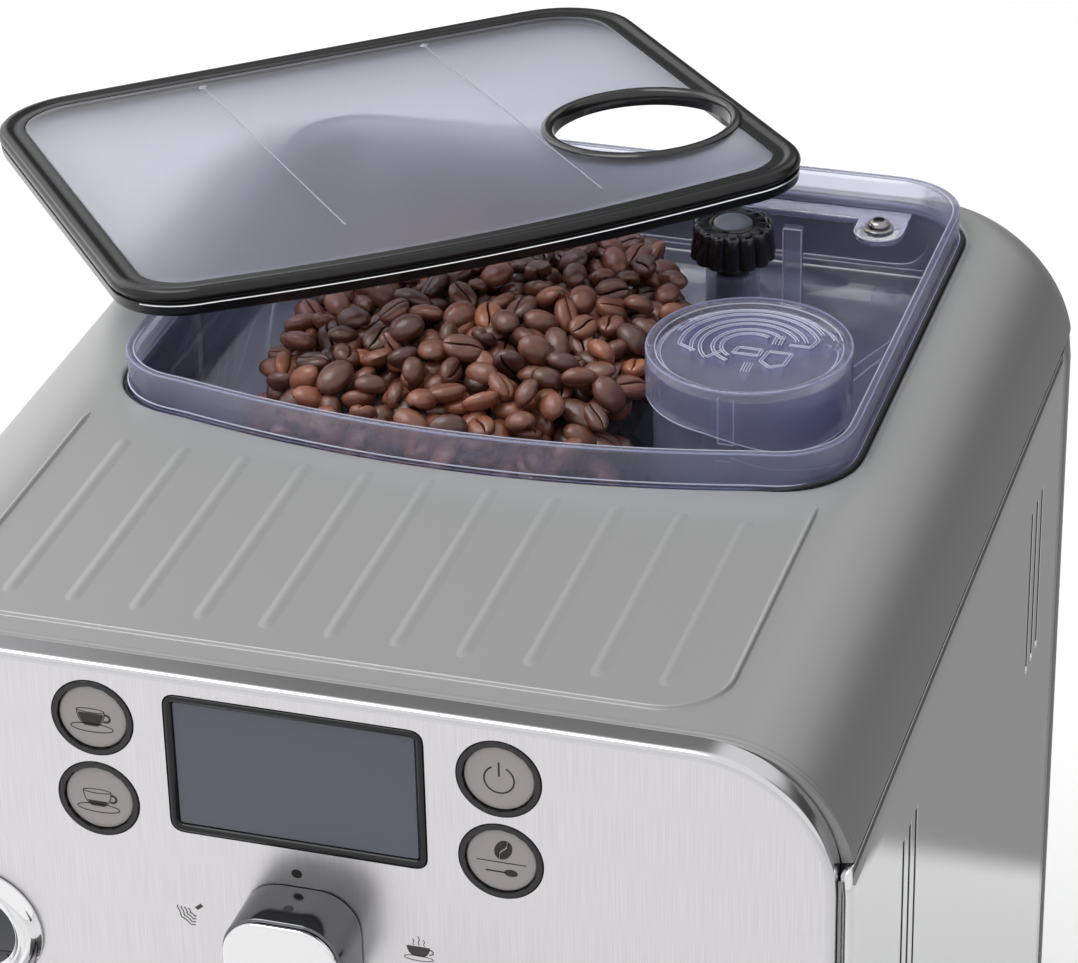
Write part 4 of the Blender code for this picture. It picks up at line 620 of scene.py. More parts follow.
# Panel carrier: a black moulding behind the pan. It fills the pan's edge and reaches through it
# with a collar round each key.
matt_black = look("black_moulding", "black_plastic", (0.022, 0.022, 0.024), 0.42, grit=(3000.0, 0.15, 0.00003))
carrier_loop = bowed_loop(123.4, -106.8, -3.3, 2.0, 29.2, 0.0, count=500)
collars = [raised("collar", circle(collar_radius, *spot), [
    (1.2, -5), (0, -5), (0, -0.05)] + rounded(0.35, -0.05)
    + [(0.9, 0.28), (1.2, 0.05), (1.2, -5)], on_front, "sheet") for spot in key_spots]
carrier = raised("carrier", carrier_loop, [(0, -10), (0, -1.2), (1.6, -1.2), (1.6, -10)],
                 on_front, "ring")
piece(joined("panel_carrier_black", [carrier] + collars), matt_black, "machine")
frame["nodes"]["panel_carrier"].data.materials[0] = matt_black


# Display: a charcoal frame with rolled edges, set round a grey blue window that is dark when
# the machine is off.
charcoal = look("charcoal_gloss", "charcoal_gloss", (0.014, 0.0145, 0.016), 0.15, 0.0, Specular_IOR_Level=0.36,
                grit=(900.0, 0.05, 0.00003))
bezel = [(0, -10), (0, -0.3)] + rounded(0.7, -0.3) + [
    (1, 0.40), (1.35, 0.25), (1.7, -0.2), (1.9, -0.7), (1.9, -3.3), (4.2, -3.3), (4.2, -10)]
piece(raised("display_frame", display_loop, bezel, on_front, "ring"), charcoal, "display_bezel")
glass_grey = look("display_glass", "display_glass", (0.156, 0.164, 0.200), 0.30, 0.0)
tree, shader = insides(glass_grey)
# The window is painted a little darker towards its top: painted shade.
shade_up_the_glass = spread(tree, split_place(tree, "Object")[2], 0.257, 0.294).outputs["Result"]
feed(tree, shader.inputs["Base Color"],
     ramped(tree, shade_up_the_glass, (0.0, (0.142, 0.150, 0.186)), (1.0, (0.130, 0.137, 0.168))))
window = raised("display_pane", display_loop, [(2, -3.3), (2, -0.62), (2.15, -0.5)], on_front)
piece(window, glass_grey, "display_window")


# Keys: warm grey caps that press straight in, each with a printed sign: a full cup, a cup with
# a little in it, the power sign, and a bean over a spoon for ground coffee.
def inked(name, put, strokes=(), patches=(), out=0.03):
    """Flat print just proud of a surface: strokes are (points, width), patches are outlines
    seen whole from their middle."""
    flat = []
    for points, width in strokes:
        points = np.asarray(points, float)
        side = left_of(np.gradient(points, axis=0)) * width / 2
        both = np.stack([points - side, points + side])
        flat.append(surface("stroke", put(both[..., 0], both[..., 1], out), turn=True))
    for points in patches:
        points = np.asarray(points, float)
        both = np.stack([points, np.tile(points.mean(axis=0), (len(points), 1))])
        flat.append(surface("patch", put(both[..., 0], both[..., 1], out), (False, True), weld=0.001))
    return joined(name, flat)


def oval(x, y, wide, tall, start=0.0, end=360.0, turn=0.0, count=40):
    """Points on an oval between two angles in degrees, turned as a whole."""
    angle = np.radians(np.linspace(start, end, count))
    a, b = wide * np.cos(angle), tall * np.sin(angle)
    lean = math.radians(turn)
    return np.stack([x + a * math.cos(lean) - b * math.sin(lean),
                     y + a * math.sin(lean) + b * math.cos(lean)], 1)


def cup_side(depth_share):
    """Half the cup's width at a share of its depth under the rim: a rounded bowl."""
    return 3.4 * np.sqrt(np.clip(1.0 - 0.80 * depth_share**2.2, 0.0, 1.0))


def both_sides(x, y):
    """A cup's outline from its right side: down the left and up the right."""
    return np.concatenate([np.stack([-x, y], 1), np.stack([x, y], 1)[::-1]])


share = np.linspace(0.0, 1.0, 16)
cup_wall = both_sides(cup_side(share), 1.7 - 4.0 * share) + [-0.5, 0.0]


def coffee_in(filled_to):
    """The coffee's outline from its top, as a share of depth, down to the cup's foot."""
    down = np.linspace(filled_to, 0.97, 14)
    return both_sides(cup_side(down) - 0.26, 1.7 - 4.0 * down)[::-1] + [-0.5, 0.0]


bean_lean = math.radians(-24.0)


def half_bean(side):
    """Half a leaning bean: an oval's side and an S shaped crease a little off its middle."""
    t = np.linspace(-1.0, 1.0, 24)
    rim = np.stack([side * 2.0 * np.sqrt(1.0 - t**2), 2.75 * t], 1)
    crease = np.stack([0.42 * np.sin(math.pi * t[::-1]) + side * 0.17, 2.55 * t[::-1]], 1)
    c, s = math.cos(bean_lean), math.sin(bean_lean)
    return np.concatenate([rim, crease]) @ [[c, s], [-s, c]] + [0.5, 2.9]


cup_lines = [(cup_wall, 0.24), (oval(-0.5, 1.7, 3.4, 0.55), 0.22),
             (oval(3.1, 0.0, 1.05, 0.95, -120, 110), 0.55), (oval(-0.4, -2.9, 5.2, 1.15, 0, 360), 0.26)]
signs = {
    (-1, 0): (cup_lines, [coffee_in(0.18)]),
    (-1, 1): (cup_lines, [coffee_in(0.66)]),
    (1, 0): ([(oval(0, -0.3, 3.5, 3.5, 118, 422), 0.42), ([(0, 0.5), (0, 2), (0, 4.3)], 0.45)], []),
    (1, 1): ([([(-5.8, -0.5), (0, -0.5), (5.8, -0.5)], 0.26), ([(-3.8, -3.1), (0, -3.1), (1, -3.1)], 0.42)],
             [half_bean(-1.0), half_bean(1.0), oval(2.2, -3.1, 1.6, 0.95)]),
}
warm_grey = look("key_grey", "key_grey", (0.47, 0.435, 0.42), 0.36, 0.1, grit=(2400.0, 0.10, 0.00003))
ink = look("printed_ink", "gloss_black", (0.020, 0.016, 0.014), 0.45, grit=(3000.0, 0.1, 0.00001))
key_names = {(-1, 0): "long_coffee", (-1, 1): "espresso", (1, 0): "power", (1, 1): "ground_coffee"}
for (side, row), name in key_names.items():
    x, rise = side * key_x, key_rows[row]
    loop = circle(key_radius, x, rise, 96)
    cap = [(-1.2, -11.6), (-1.2, -10.3), (0, -10.3), (0, -0.75)] + rounded(0.5, -0.8) + [(1.3, -0.3)]
    piece(raised("key_" + name + "_cap", loop, cap, on_front), warm_grey, "button_" + name)

    def on_key(a, b, out, x=x, rise=rise):
        return on_front(x + a, rise + b, out - 0.3)

    piece(inked("key_" + name + "_sign", on_key, *signs[side, row]), ink, "key_" + name)
    piece(inked("key_" + name + "_ring", on_key, [(oval(0, 0, 7.5, 7.5, count=80), 0.16)]), warm_grey,
          "key_" + name)


# Printed signs on the steel beside the selector: steam from a nozzle on the left, a steaming
# cup for hot water on the right, and a dot above.
share = np.linspace(-1.0, 1.0, 24)
ripple = 0.22 * np.stack([np.sin(share * 9.0), np.cos(share * 9.0)], 1).repeat(2, 0)[:40]
waves = [(oval(2.4, 2.2, r, r * 0.96, 172, 262) + ripple, 0.34) for r in (2.6, 3.7, 4.8, 5.9)]
nozzle = np.array([(1.6, 2.9), (2.4, 2.1), (4.2, 3.6), (3.4, 4.5)])
steam_cup = [(oval(0, -3.1, 4.3, 0.85), 0.24), (oval(3.4, -0.6, 0.95, 0.8, -110, 110), 0.36),
             ([(-1.6, 3.4), (-1.2, 2.6), (-1.6, 1.8), (-1.2, 1.2)], 0.26),
             ([(0, 4.4), (0.4, 3.2), (0, 2.2), (0.3, 1.2)], 0.28),
             ([(1.5, 3.4), (1.9, 2.6), (1.5, 1.8), (1.9, 1.2)], 0.26)]
down = np.linspace(0, 1, 14)
bowl = both_sides(cup_side(down), 0.9 - 3.4 * down)[::-1]
sign_ink = look("grey_print", "gloss_black", (0.075, 0.070, 0.068), 0.5, grit=(2500.0, 0.1, 0.00001))
sign_x, sign_share = 27.9, 0.82
for name, x, rise, strokes, patches in (
    ("steam_sign", -sign_x, -64.4, waves, [nozzle]),
    ("hot_water_sign", sign_x, -63.6, steam_cup, [bowl]),
):
    piece(inked(name, lambda a, b, out, x=x, rise=rise: on_front(
        a * sign_share + x, b * sign_share + rise, out), strokes, patches), sign_ink, "machine")
piece(inked("selector_dot", lambda a, b, out: on_front(a - 0.8, b - 47.9, out), (), [oval(0, 0, 1.3, 1.2)]),
      ink, "machine")


# Selector: a round cornered block of smoked chrome with a bright chrome face; it turns to steam
# on one side and to hot water on the other. A dot on it meets the dot on the panel.
smoked_chrome = look("smoked_chrome", "dark_chrome", (0.15, 0.15, 0.16), 0.14, 1.0, grit=(500.0, 0.04, 0.00003))
bright_chrome = look("bright_chrome", "chrome", (0.86, 0.86, 0.87), 0.07, 1.0, grit=(400.0, 0.03, 0.00002))
dial_loop = bowed_loop(14.4, dial_rise - 14.4, dial_rise + 14.4, 10.0, 10.0, 0.0, count=200)
block = [(0.9, 0.3), (0.25, 0.3), (0, 0.6), (0, 14.2)] + rounded(0.6, 14.2) + [(1, 14.8)]
shaft = raised("shaft", circle(4.2, 0.0, dial_rise, 32), [(0, -14), (0, 4)], on_front)
piece(joined("selector_block", [raised("block", dial_loop, block, on_front), shaft]),
      smoked_chrome, "selector_dial")
face = [(1.2, 15.1), (0.75, 15.1), (0.55, 15.3), (0.55, 15.75)] + rounded(0.45, 15.75, 1.0) + [
    (2.2, 16.2), (5, 16.2)]
piece(raised("selector_front", dial_loop, face, on_front), bright_chrome, "selector_face")
piece(inked("selector_mark", lambda a, b, out: place_of(0.2 + a, b - 9.0, dial_rise + 14.4 + out), (),
            [oval(0, 0, 1.25, 1.25)]), ink, "selector")


# Round boss: a polished trim of chrome rings about a dark glossy dome.
boss_radius = 16.3
ring = [(13.3, -9), (13.3, 0.3), (0.4, 0.3), (0, 0.6), (0, 1.2), (0.5, 1.6), (0.9, 2.3), (1.5, 3.2),
        (2.1, 3.75), (2.8, 3.9), (3.3, 3.6), (3.7, 3.2), (4.1, 3.3), (4.6, 3.6), (5.1, 3.5), (5.5, 3), (6, 2.6)]
piece(raised("boss_rings", circle(boss_radius, *boss_place, 128), ring, on_front), bright_chrome,
      "round_boss")
dark_dome = look("dark_gloss_dome", "gloss_black", (0.03, 0.032, 0.045), 0.05, 0.3, Coat_Weight=1.0,
                 grit=(260.0, 0.04, 0.00003))
dome = [(10.4, 2.2)] + [(6.1 + 10.2 * s, 2.6 + 1.5 * (1 - (1 - s) ** 2)) for s in np.linspace(0.0, 0.96, 8)]
piece(raised("boss_dome", circle(boss_radius, *boss_place, 96), dome, on_front), dark_dome, "machine")


# Bean hopper: moulded in clear plastic with a faint violet tint. Upright walls stand proud of
# the cover, and its floor falls from them to the round mouth over the grinder.
def lathe(name, profile, x, y, put=place_of, count=72, wrap=False):
    """A profile of (radius, height) carried round an axis; listed up the outside and inwards."""
    radius, height = np.array(profile, float).T[..., None]
    ring = circle(1.0, count=count).T
    return surface(name, put(x + radius * ring[0], y + radius * ring[1], height), (wrap, True), weld=0.002)


def cut_round(mesh, radius, x, y, low, high, put=place_of):
    """The mesh with a round hole through it."""
    bar = bpy.data.objects.new("bar", lathe("bar", [(0, low), (radius, low), (radius, high), (0, high)], x, y,
                                            put))
    bpy.context.scene.collection.objects.link(bar)
    made = baked(mesh, ("BOOLEAN", {"object": bar, "operation": "DIFFERENCE", "solver": "EXACT"}))
    bpy.data.objects.remove(bar)
    return made


clear = look("clear_violet", "clear_plastic", (0.74, 0.76, 0.97), 0.02, 0.0, Transmission_Weight=0.82,
             IOR=1.46, Alpha=0.60, Specular_IOR_Level=0.9, grit=(120.0, 0.04, 0.0002))
crisp = look("clear_moulding", "clear_plastic", (0.80, 0.81, 0.98), 0.01, 0.0, Transmission_Weight=0.88,
             IOR=1.47, Alpha=0.75, Specular_IOR_Level=0.8, grit=(150.0, 0.03, 0.0001))
for finish, deep in ((clear, (0.50, 0.51, 0.92)), (crisp, (0.52, 0.52, 0.93))):
    tree, shader = insides(finish)
    base = shader.inputs["Base Color"]
    slant = added(tree, "LayerWeight", Blend=0.35).outputs["Facing"]
    feed(tree, base, mixed(tree, slant, base.default_value[:3], deep))
hopper_middle, hopper_half_depth = 198.5, 80.0
grinder_depth = 190.0
doser = (62.9, 167.1)
knob_x, knob_depth = 39.4, 242.0
facing = np.arctan2((hopper_loop[:, 1] - hopper_middle) / hopper_half_depth,
                    (hopper_loop[:, 0] - hopper_x) / hopper_half)


def bowl_row(radius, rise):
    """A circle round the mouth whose points face those of the hopper's outline."""
    return place_of(radius * np.cos(facing), grinder_depth + radius * np.sin(facing), rise)


def wall_row(inset, rise):
    """The hopper's outline drawn in, at a height."""
    return place_of(*drawn_in(hopper_loop, inset).T, rise)


def between(a, b, count):
    """Rows that blend from one row to another, ends left out."""
    share = np.linspace(0.0, 1.0, count + 2)[1:-1, None, None]
    return list(a + (b - a) * share)


outside = [bowl_row(22.2, -58.0), bowl_row(30.6, -46.0)]
outside += between(outside[-1], wall_row(4.0, -26.4), 10)
outside += [wall_row(*step) for step in (
    (4, -26.4), (2, -25.6), (1.2, -23.8), (0.9, -14), (0.4, -2), (0, 7.9))]
half_wall = 1.1
rim = [wall_row(half_wall - half_wall * math.cos(a), 7.9 + half_wall * math.sin(a))
       for a in np.radians((22, 45, 67, 90, 113, 135, 158))]
inside = [wall_row(*step) for step in (
    (2.2, 7.9), (2.6, -2), (3.1, -11), (3.9, -15.6), (5.6, -19.4), (8.4, -22.4), (12, -24.6))]
floor_end = bowl_row(29.0, -44.0)
inside += between(inside[-1], floor_end, 10) + [floor_end, bowl_row(20.0, -58.0)]
hopper_shell = surface("hopper_shell", np.array(outside + rim + inside), (True, True))
clear_bits = [cut_round(hopper_shell, 22.8, *doser, -70.0, 0.0)]

# A ledge runs along the hopper's back wall. It goes round each of the two screws as a lug.
screw_aside, screw_depth = 71.7, 264.5
lugs = (hopper_x - screw_aside, hopper_x + screw_aside)
lug_radius, ledge_front = 6.6, 270.3
round_lug = lug_radius * np.sin(np.linspace(-1.57, 1.57, 31))
along = np.unique(np.concatenate([np.linspace(-72.0, 77.2, 80)] + [x + round_lug for x in lugs]))
reach_out = sum(np.sqrt(np.clip(lug_radius**2 - (along - x) ** 2, 0.0, None)) for x in lugs)
near = np.where(reach_out > 0.4, np.minimum(ledge_front, screw_depth - reach_out), ledge_front)
steps = [(None, -3), (None, -1), (0.8, -1), (0.2, -1.25), (0, -1.8), (0.05, -2.5), (0.4, -3)]


def capped(rows):
    """Rows of a tube with its two ends drawn together."""
    first, last = (row.mean(axis=1, keepdims=True).repeat(rows.shape[1], 1) for row in (rows[:1], rows[-1:]))
    return np.concatenate([first, rows, last])


ledge = np.stack([place_of(along, 276.4 if back is None else near + back, rise) for back, rise in steps], 1)
clear_bits.append(surface("ledge", capped(ledge), (False, True), turn=True, weld=0.002))
clear_bits.append(lathe("tower", [(5.2, -40), (7.4, -40), (7.4, -6.5), (7, -6), (5.6, -6), (5.2, -6.5)],
                        knob_x, knob_depth, wrap=True))
post_loop = bowed_loop(2.6, 240.5, 243.5, 0.5, 0.5, 0.0, 56.0, 80)
clear_bits.append(raised("post", post_loop, [(0, -34), (0, 8.1), (0.4, 8.5)], place_of))
piece(joined("hopper_clear", clear_bits), clear, "bean_hopper")

steel_dark = look("screw_steel", "cast_aluminium", (0.30, 0.29, 0.29), 0.20, 1.0, grit=(2000.0, 0.1, 0.00003))
for x, name in zip(lugs, ("left", "right")):
    head = [(0, -2.9), (1.8, -2.9), (1.9, -0.6), (4.1, -0.6), (4.1, -0.1), (3.8, 0.1), (3.1, 0.15), (3.1, 0.7),
            (2.8, 1.5), (2.1, 2), (1.5, 2.1), (1.4, 1.1), (0, 1.1)]
    piece(lathe("screw_" + name, head, x, screw_depth, count=48), steel_dark, "hopper_screw_" + name)
    # The socket in each head is a flat black six-lobed star: painted shade for the recess.
    turn = np.linspace(0, 2 * math.pi, 61)[:-1]
    star = (1.2 + 0.25 * np.cos(6 * turn))[:, None] * np.stack([np.cos(turn), np.sin(turn)], 1)
    piece(inked("screw_socket_shade_" + name, lambda a, b, out, x=x: place_of(
        x + a, screw_depth + b, 1.1 + out), (), [star]), matt_black, "machine")


# Seal: a soft black lip in the gap between the hopper and the cover, put there as painted shadow of the gap. It
# stands a little higher down the right side.
lifted = np.clip((hopper_loop[:, 0] - 70.0) / 20.0, 0.0, 1.0)
lifted *= np.clip((274.0 - hopper_loop[:, 1]) / 14.0, 0.0, 1.0)
lip_rows = [place_of(*drawn_in(hopper_loop, inset).T, rise + 2.1 * lifted)
            for inset, rise in ((-1.3, -3.6), (-1.3, -1.5), (-1.05, -1.2), (-0.4, -1.2), (-0.14, -1.5),
                                (-0.14, -3.6))]
gap_black = look("gap_shadow_black", "black_plastic", (0.016, 0.017, 0.022), 0.45, grit=(2400.0, 0.15, 0.00002))
piece(surface("hopper_gap_shadow", np.array(lip_rows), (True, True)), gap_black, "machine")


# Ground coffee doser: a clear tube down to the brewing chamber. It stands in the hopper with a
# loose clear cap on it, whose top is stiffened by thin curved ribs.
tube = [(11.2, -108.7), (13, -108.7), (13, -92.7), (22.5, -58), (22.5, -24.5), (24.3, -22), (24.3, 8),
        (24, 8.5), (22.6, 8.5), (22.3, 8), (22.3, -21), (20.7, -24), (20.7, -58), (11.2, -92.7)]
piece(lathe("doser_clear", tube, *doser, count=128, wrap=True), crisp, "doser_tube")


def wall_along(name, path, half, low, high, put):
    """An upright wall along a path with a softened top edge and closed ends."""
    path = np.asarray(path, float)
    side = left_of(np.gradient(path, axis=0))
    over = np.array([-1.0, 1.0, 1.0, 0.6, -0.6, -1.0]) * half
    tall = np.array([low, low, high - 0.3, high, high, high - 0.3])
    flat = path[:, None] + side[:, None] * over[None, :, None]
    spots = put(flat[..., 0], flat[..., 1], tall[None, :] + 0.0 * flat[..., 0])
    return surface(name, capped(spots), (False, True), weld=0.002)


def on_cap(a, b, h):
    """Places about the doser's axis."""
    return place_of(doser[0] + a, doser[1] + b, h)


def skirt_drop(share):
    """The skirt's foot falls by a smooth step from the cap's left to its right."""
    share = np.clip((share + 0.3) / 1.1, 0.0, 1.0)
    return 5.6 * share**2 * (3.0 - 2.0 * share)


cap = np.array([(0, 8.8), (24.9, 8.8), (24.9, -0.4), (25.4, -0.4), (26.2, 0.1), (26.2, 11.3), (26, 11.85),
                (25.5, 12.1), (24.3, 12), (23.6, 11.3), (23, 10.3), (22.2, 9.95), (21.2, 9.9), (0, 9.9)])
around_cap = circle(1.0, count=128)
cap_rise = cap[:, 1:] - (cap[:, 1:] < 1.0) * skirt_drop(around_cap[:, 0])
cap_spots = on_cap(cap[:, :1] * around_cap[:, 0], cap[:, :1] * around_cap[:, 1], cap_rise)
cap_bits = [surface("cap", cap_spots, (False, True), weld=0.002)]
rib_paths = []
for radius, start, end in ((19.6, 32, 168), (17.6, 24, 190), (14.6, 22, 205), (12.4, 26, 222), (9.2, 38, 246),
                           (7, 60, 236)):
    rib_paths.append(oval(0, 0, radius, radius, start, end))
    cap_bits.append(wall_along("rib", rib_paths[-1], 0.42, 9.7, 11.5, on_cap))
for a, b, c, d in ((16, 7, 15, 3.2), (15, 3.2, 9.5, 3.2), (-17.2, -3, -12.8, -5.4), (-9, -8.2, -6, -3.6),
                   (-2.4, -1, 3.6, -1), (-3.2, -4.2, 3.4, -4.2), (-2.4, -1, -3.2, -4.2), (3.6, -1, 3.4, -4.2),
                   (5.4, -1.4, 11.4, -1.4), (5.4, -1.4, 4.6, -6.8), (11.4, -1.4, 10.8, -7.4),
                   (4.6, -6.8, 7.6, -9.6), (10.8, -7.4, 7.6, -9.6), (1.4, -8.6, 1.4, -13.2),
                   (2.8, -8.6, 2.8, -13.2), (5.6, 7.4, 5.6, 2.6), (7.2, 7.4, 7.2, 2.6)):
    rib_paths.append(np.linspace((a, b), (c, d), 4))
    cap_bits.append(wall_along("web", rib_paths[-1], 0.38, 9.7, 11.5, on_cap))
for x, y in ((-17.8, 8.2), (19.4, 6.2)):
    for turn in (0.0, 1.6, 3.2):
        path = np.linspace((x + turn - 1.4, y - 1.2), (x + turn - 0.4, y + 1.4), 4)
        cap_bits.append(wall_along("catch", path, 0.5, 9.7, 12.0, on_cap))
for x in (-3.4, -1.6):
    cap_bits.append(wall_along("tab", np.linspace((x - 0.5, -22.3), (x + 0.5, -22.3), 4), 0.55, -0.4, 8.9,
                               on_cap))
piece(joined("doser_cap_clear", cap_bits), crisp, "doser_cap")


# Painted highlights: wherever the clear mouldings turn a corner, a fine bright bead is laid along the edge,
# whose pale colour paints the glint that the edge catches.
def fine_line(path, radius, closed=False):
    """A round bead along a path of (x, depth, rise): six points about each place, square to the
    path, and the ends drawn together."""
    path = np.asarray(path, float)
    along = np.roll(path, -1, 0) - np.roll(path, 1, 0) if closed else np.gradient(path, axis=0)
    along /= np.linalg.norm(along, axis=1)[:, None]
    level = np.where(np.abs(along[:, 2:]) > 0.9, [[1.0, 0.0, 0.0]], [[0.0, 0.0, 1.0]])
    side = np.cross(along, level)
    side /= np.linalg.norm(side, axis=1)[:, None]
    turn = np.radians(np.arange(0.0, 360.0, 60.0))[None, :, None]
    up = np.cross(side, along)
    rings = path[:, None] + radius * (np.cos(turn) * side[:, None] + np.sin(turn) * up[:, None])
    if not closed:
        rings = np.concatenate([path[:1, None].repeat(6, 1), rings, path[-1:, None].repeat(6, 1)])
    return surface("line", place_of(*np.moveaxis(rings, -1, 0)), (closed, True), turn=True, weld=0.002)


def level_line(loop, rise, radius, closed=True):
    """A bead along an outline at a height."""
    return fine_line(level(loop, rise), radius, closed)


def bent_line(corners, radius):
    """A bead through a few corners, sampled evenly between them."""
    corners = np.asarray(corners, float)
    spots = np.linspace(0.0, len(corners) - 1.0, 12 * (len(corners) - 1) + 1)
    return fine_line(np.stack([np.interp(spots, np.arange(len(corners)), corners[:, i]) for i in range(3)],
                              1), radius)


# Both finishes are pale and partly opaque, so the beads show bright: painted glints.
glint_paint = look("painted_edge_glint", "clear_plastic", (0.83, 0.85, 0.99), 0.10, 0.0, Transmission_Weight=0.25,
                   IOR=1.47, Alpha=0.85, grit=(300.0, 0.05, 0.00005))
soft_glint_paint = look("painted_soft_glint", "clear_plastic", (0.60, 0.62, 0.86), 0.12, 0.0, Transmission_Weight=0.45,
                 IOR=1.47, Alpha=0.7, grit=(300.0, 0.05, 0.00005))
bright = [level_line(drawn_in(hopper_loop, 1.9), 8.75, 0.17),
          level_line(drawn_in(hopper_loop, -0.02), 0.35, 0.20),
          fine_line(np.column_stack([along, near - 0.15, np.full(len(along), -1.15)]), 0.20)]
bright += [bent_line([(53.5, 240.4, -16), (53.5, 240.4, 8.3), (58.5, 240.4, 8.3), (58.5, 240.4, -16)], 0.17)]
soft = [level_line(drawn_in(hopper_loop, 0.3), 8.7, 0.25), level_line(drawn_in(hopper_loop, 0.55), -1.0, 0.16),
        bent_line([(91, 262, -22), (78, 238, -25.5), (70, 222, -28)], 0.22),
        bent_line([(91.5, 256, -22.5), (80, 234, -26), (73, 220, -29)], 0.22)]
for deep, tall in ((214, -4), (179, -9)):
    bright.append(bent_line([(93.2, deep + 3.0, tall), (92, deep, tall - 0.5), (93.4, deep - 3.0, tall - 3.0),
                             (93.4, deep - 3.0, tall - 8.0)], 0.22))
piece(joined("hopper_edge_glints", bright), glint_paint, "machine")
piece(joined("hopper_soft_glints", soft), soft_glint_paint, "machine")
cap_edge_glints = [level_line(circle(r, *doser, 128), rise, 0.18) for r, rise in ((23.7, 11.45), (22.3, 10))]
for path in rib_paths:
    aside = left_of(np.gradient(path, axis=0))
    cap_edge_glints += [level_line(path + aside * side + doser, 11.5, 0.16, False) for side in (-0.36, 0.36)]
for x in (61.2, 65.2):
    cap_edge_glints.append(bent_line([(x, 142.6, -3.4), (x, 142.6, 9.4)], 0.18))
cap_edge_glints.append(bent_line([(61.2, 142.6, -3.4), (65.2, 142.6, -3.4)], 0.16))
cap_edge_glints.append(level_line(circle(26.0, *doser, 128), -0.3 - skirt_drop(around_cap[:, 0]), 0.16))
piece(joined("cap_edge_glints", cap_edge_glints), glint_paint, "cap")
rod = [(0, -107), (0.42, -107), (0.42, -28.5), (0, -28.5)]
corner_beads = [lathe("bead", rod, side * 125.55, 2.2, count=16) for side in (-1, 1)]
piece(joined("corner_beads", corner_beads), satin_grey, "machine")
piece(joined("cap_soft_glints", [level_line(circle(25.9, *doser, 128), 11.85, 0.26)]), soft_glint_paint, "cap")


# Grinder knob: a black fluted knob on a clear tower, turned to set how finely the beans are
# ground, with a small translucent grey button in its top.
gloss_black = look("gloss_black", "gloss_black", (0.012, 0.012, 0.013), 0.16, 0.0, Coat_Weight=0.3,
                   grit=(1500.0, 0.06, 0.00003))
flutes, flute_depth = 14, 1.15
turn = np.linspace(0.0, 2.0 * math.pi, flutes * 16, endpoint=False)
crest = np.abs(np.cos(flutes / 2 * turn)) ** 0.75
skirt = [(0, -2, 0), (9.9, -2, 0), (11.35, -1.9, 1), (11.6, -1.5, 1), (11.1, 4, 1), (10.75, 6.9, 1),
         (10.5, 7.5, 0.9), (9.9, 7.85, 0.6), (9.2, 7.9, 0), (8.9, 7.55, 0), (6.4, 7.5, 0), (6.1, 7.9, 0),
         (5.6, 8, 0), (5.45, 7.7, 0), (5.45, 7, 0), (0, 7, 0)]
radius, height, flute = np.array(skirt).T[..., None]
crown = 0.35 * ((radius > 9.0) & (radius < 10.6) & (height > 7))
radius = radius - flute * flute_depth + flute * flute_depth * crest
height = height + crown * (crest - 1.0)
spots = place_of(knob_x + radius * np.cos(turn), knob_depth + radius * np.sin(turn), height)
knob = [surface("knob", spots, (False, True), weld=0.002),
        lathe("stem", [(0, -110.3), (4.6, -110.3), (4.6, -1.9), (0, -1.9)], knob_x, knob_depth, count=32)]
piece(joined("knob_fluted", knob), gloss_black, "grinder_knob", sharp=28.0)
button_grey = look("button_translucent", "smoke_clear", (0.34, 0.37, 0.42), 0.28, 0.0,
                   Transmission_Weight=0.35, Coat_Weight=0.5, grit=(500.0, 0.05, 0.00003))
lens_profile = [(0, 7.1), (5.2, 7.1), (5.2, 7.8)]
lens_profile += [(5.1 * math.cos(a), 7.9 + 0.65 * math.sin(a)) for a in np.radians((12, 25, 40, 55, 75, 90))]
piece(lathe("knob_button", lens_profile, knob_x, knob_depth), button_grey, "knob_insert")


# Coffee beans: whole roasted beans in a heap over the mouth. Each is an oval with a round back
# and a flatter face, which a creased slit runs along.
def heap(x, depth):
    """The heap's height: highest over the mouth, falling as a superellipse towards its edge."""
    away = (np.abs((x + 13.7) / 52.2) ** 2.7 + np.abs((depth - 187.0) / 69.0) ** 2.7) ** (1 / 2.7)
    return np.interp(away, [0.0, 0.2, 0.45, 0.75, 0.93, 1.0, 1.06], [10.5, 10.3, 9.1, 5.0, -0.5, -9.0, -24.0])


rng = np.random.default_rng(11)


def scatter(apart, tries, drop):
    """Places in the heap's outline, no two nearer than a distance, a drop under its top, and none
    by the knob or the doser."""
    wish = rng.uniform((-66.0, 118.0), (38.5, 256.0), (tries, 2))
    kept = np.empty((0, 2))
    for spot in wish:
        if len(kept) == 0 or np.min(np.hypot(*(kept - spot).T)) > apart:
            kept = np.vstack([kept, spot])
    rise = heap(*kept.T) - drop + rng.normal(0.0, 0.5, len(kept))
    clear_of = [np.hypot(*(kept - spot).T) >= gap for spot, gap in (((knob_x, knob_depth), 17.5),
                                                                    (doser, 30.5))]
    return np.column_stack([kept, rise])[(rise > -21.0) & clear_of[0] & clear_of[1]]


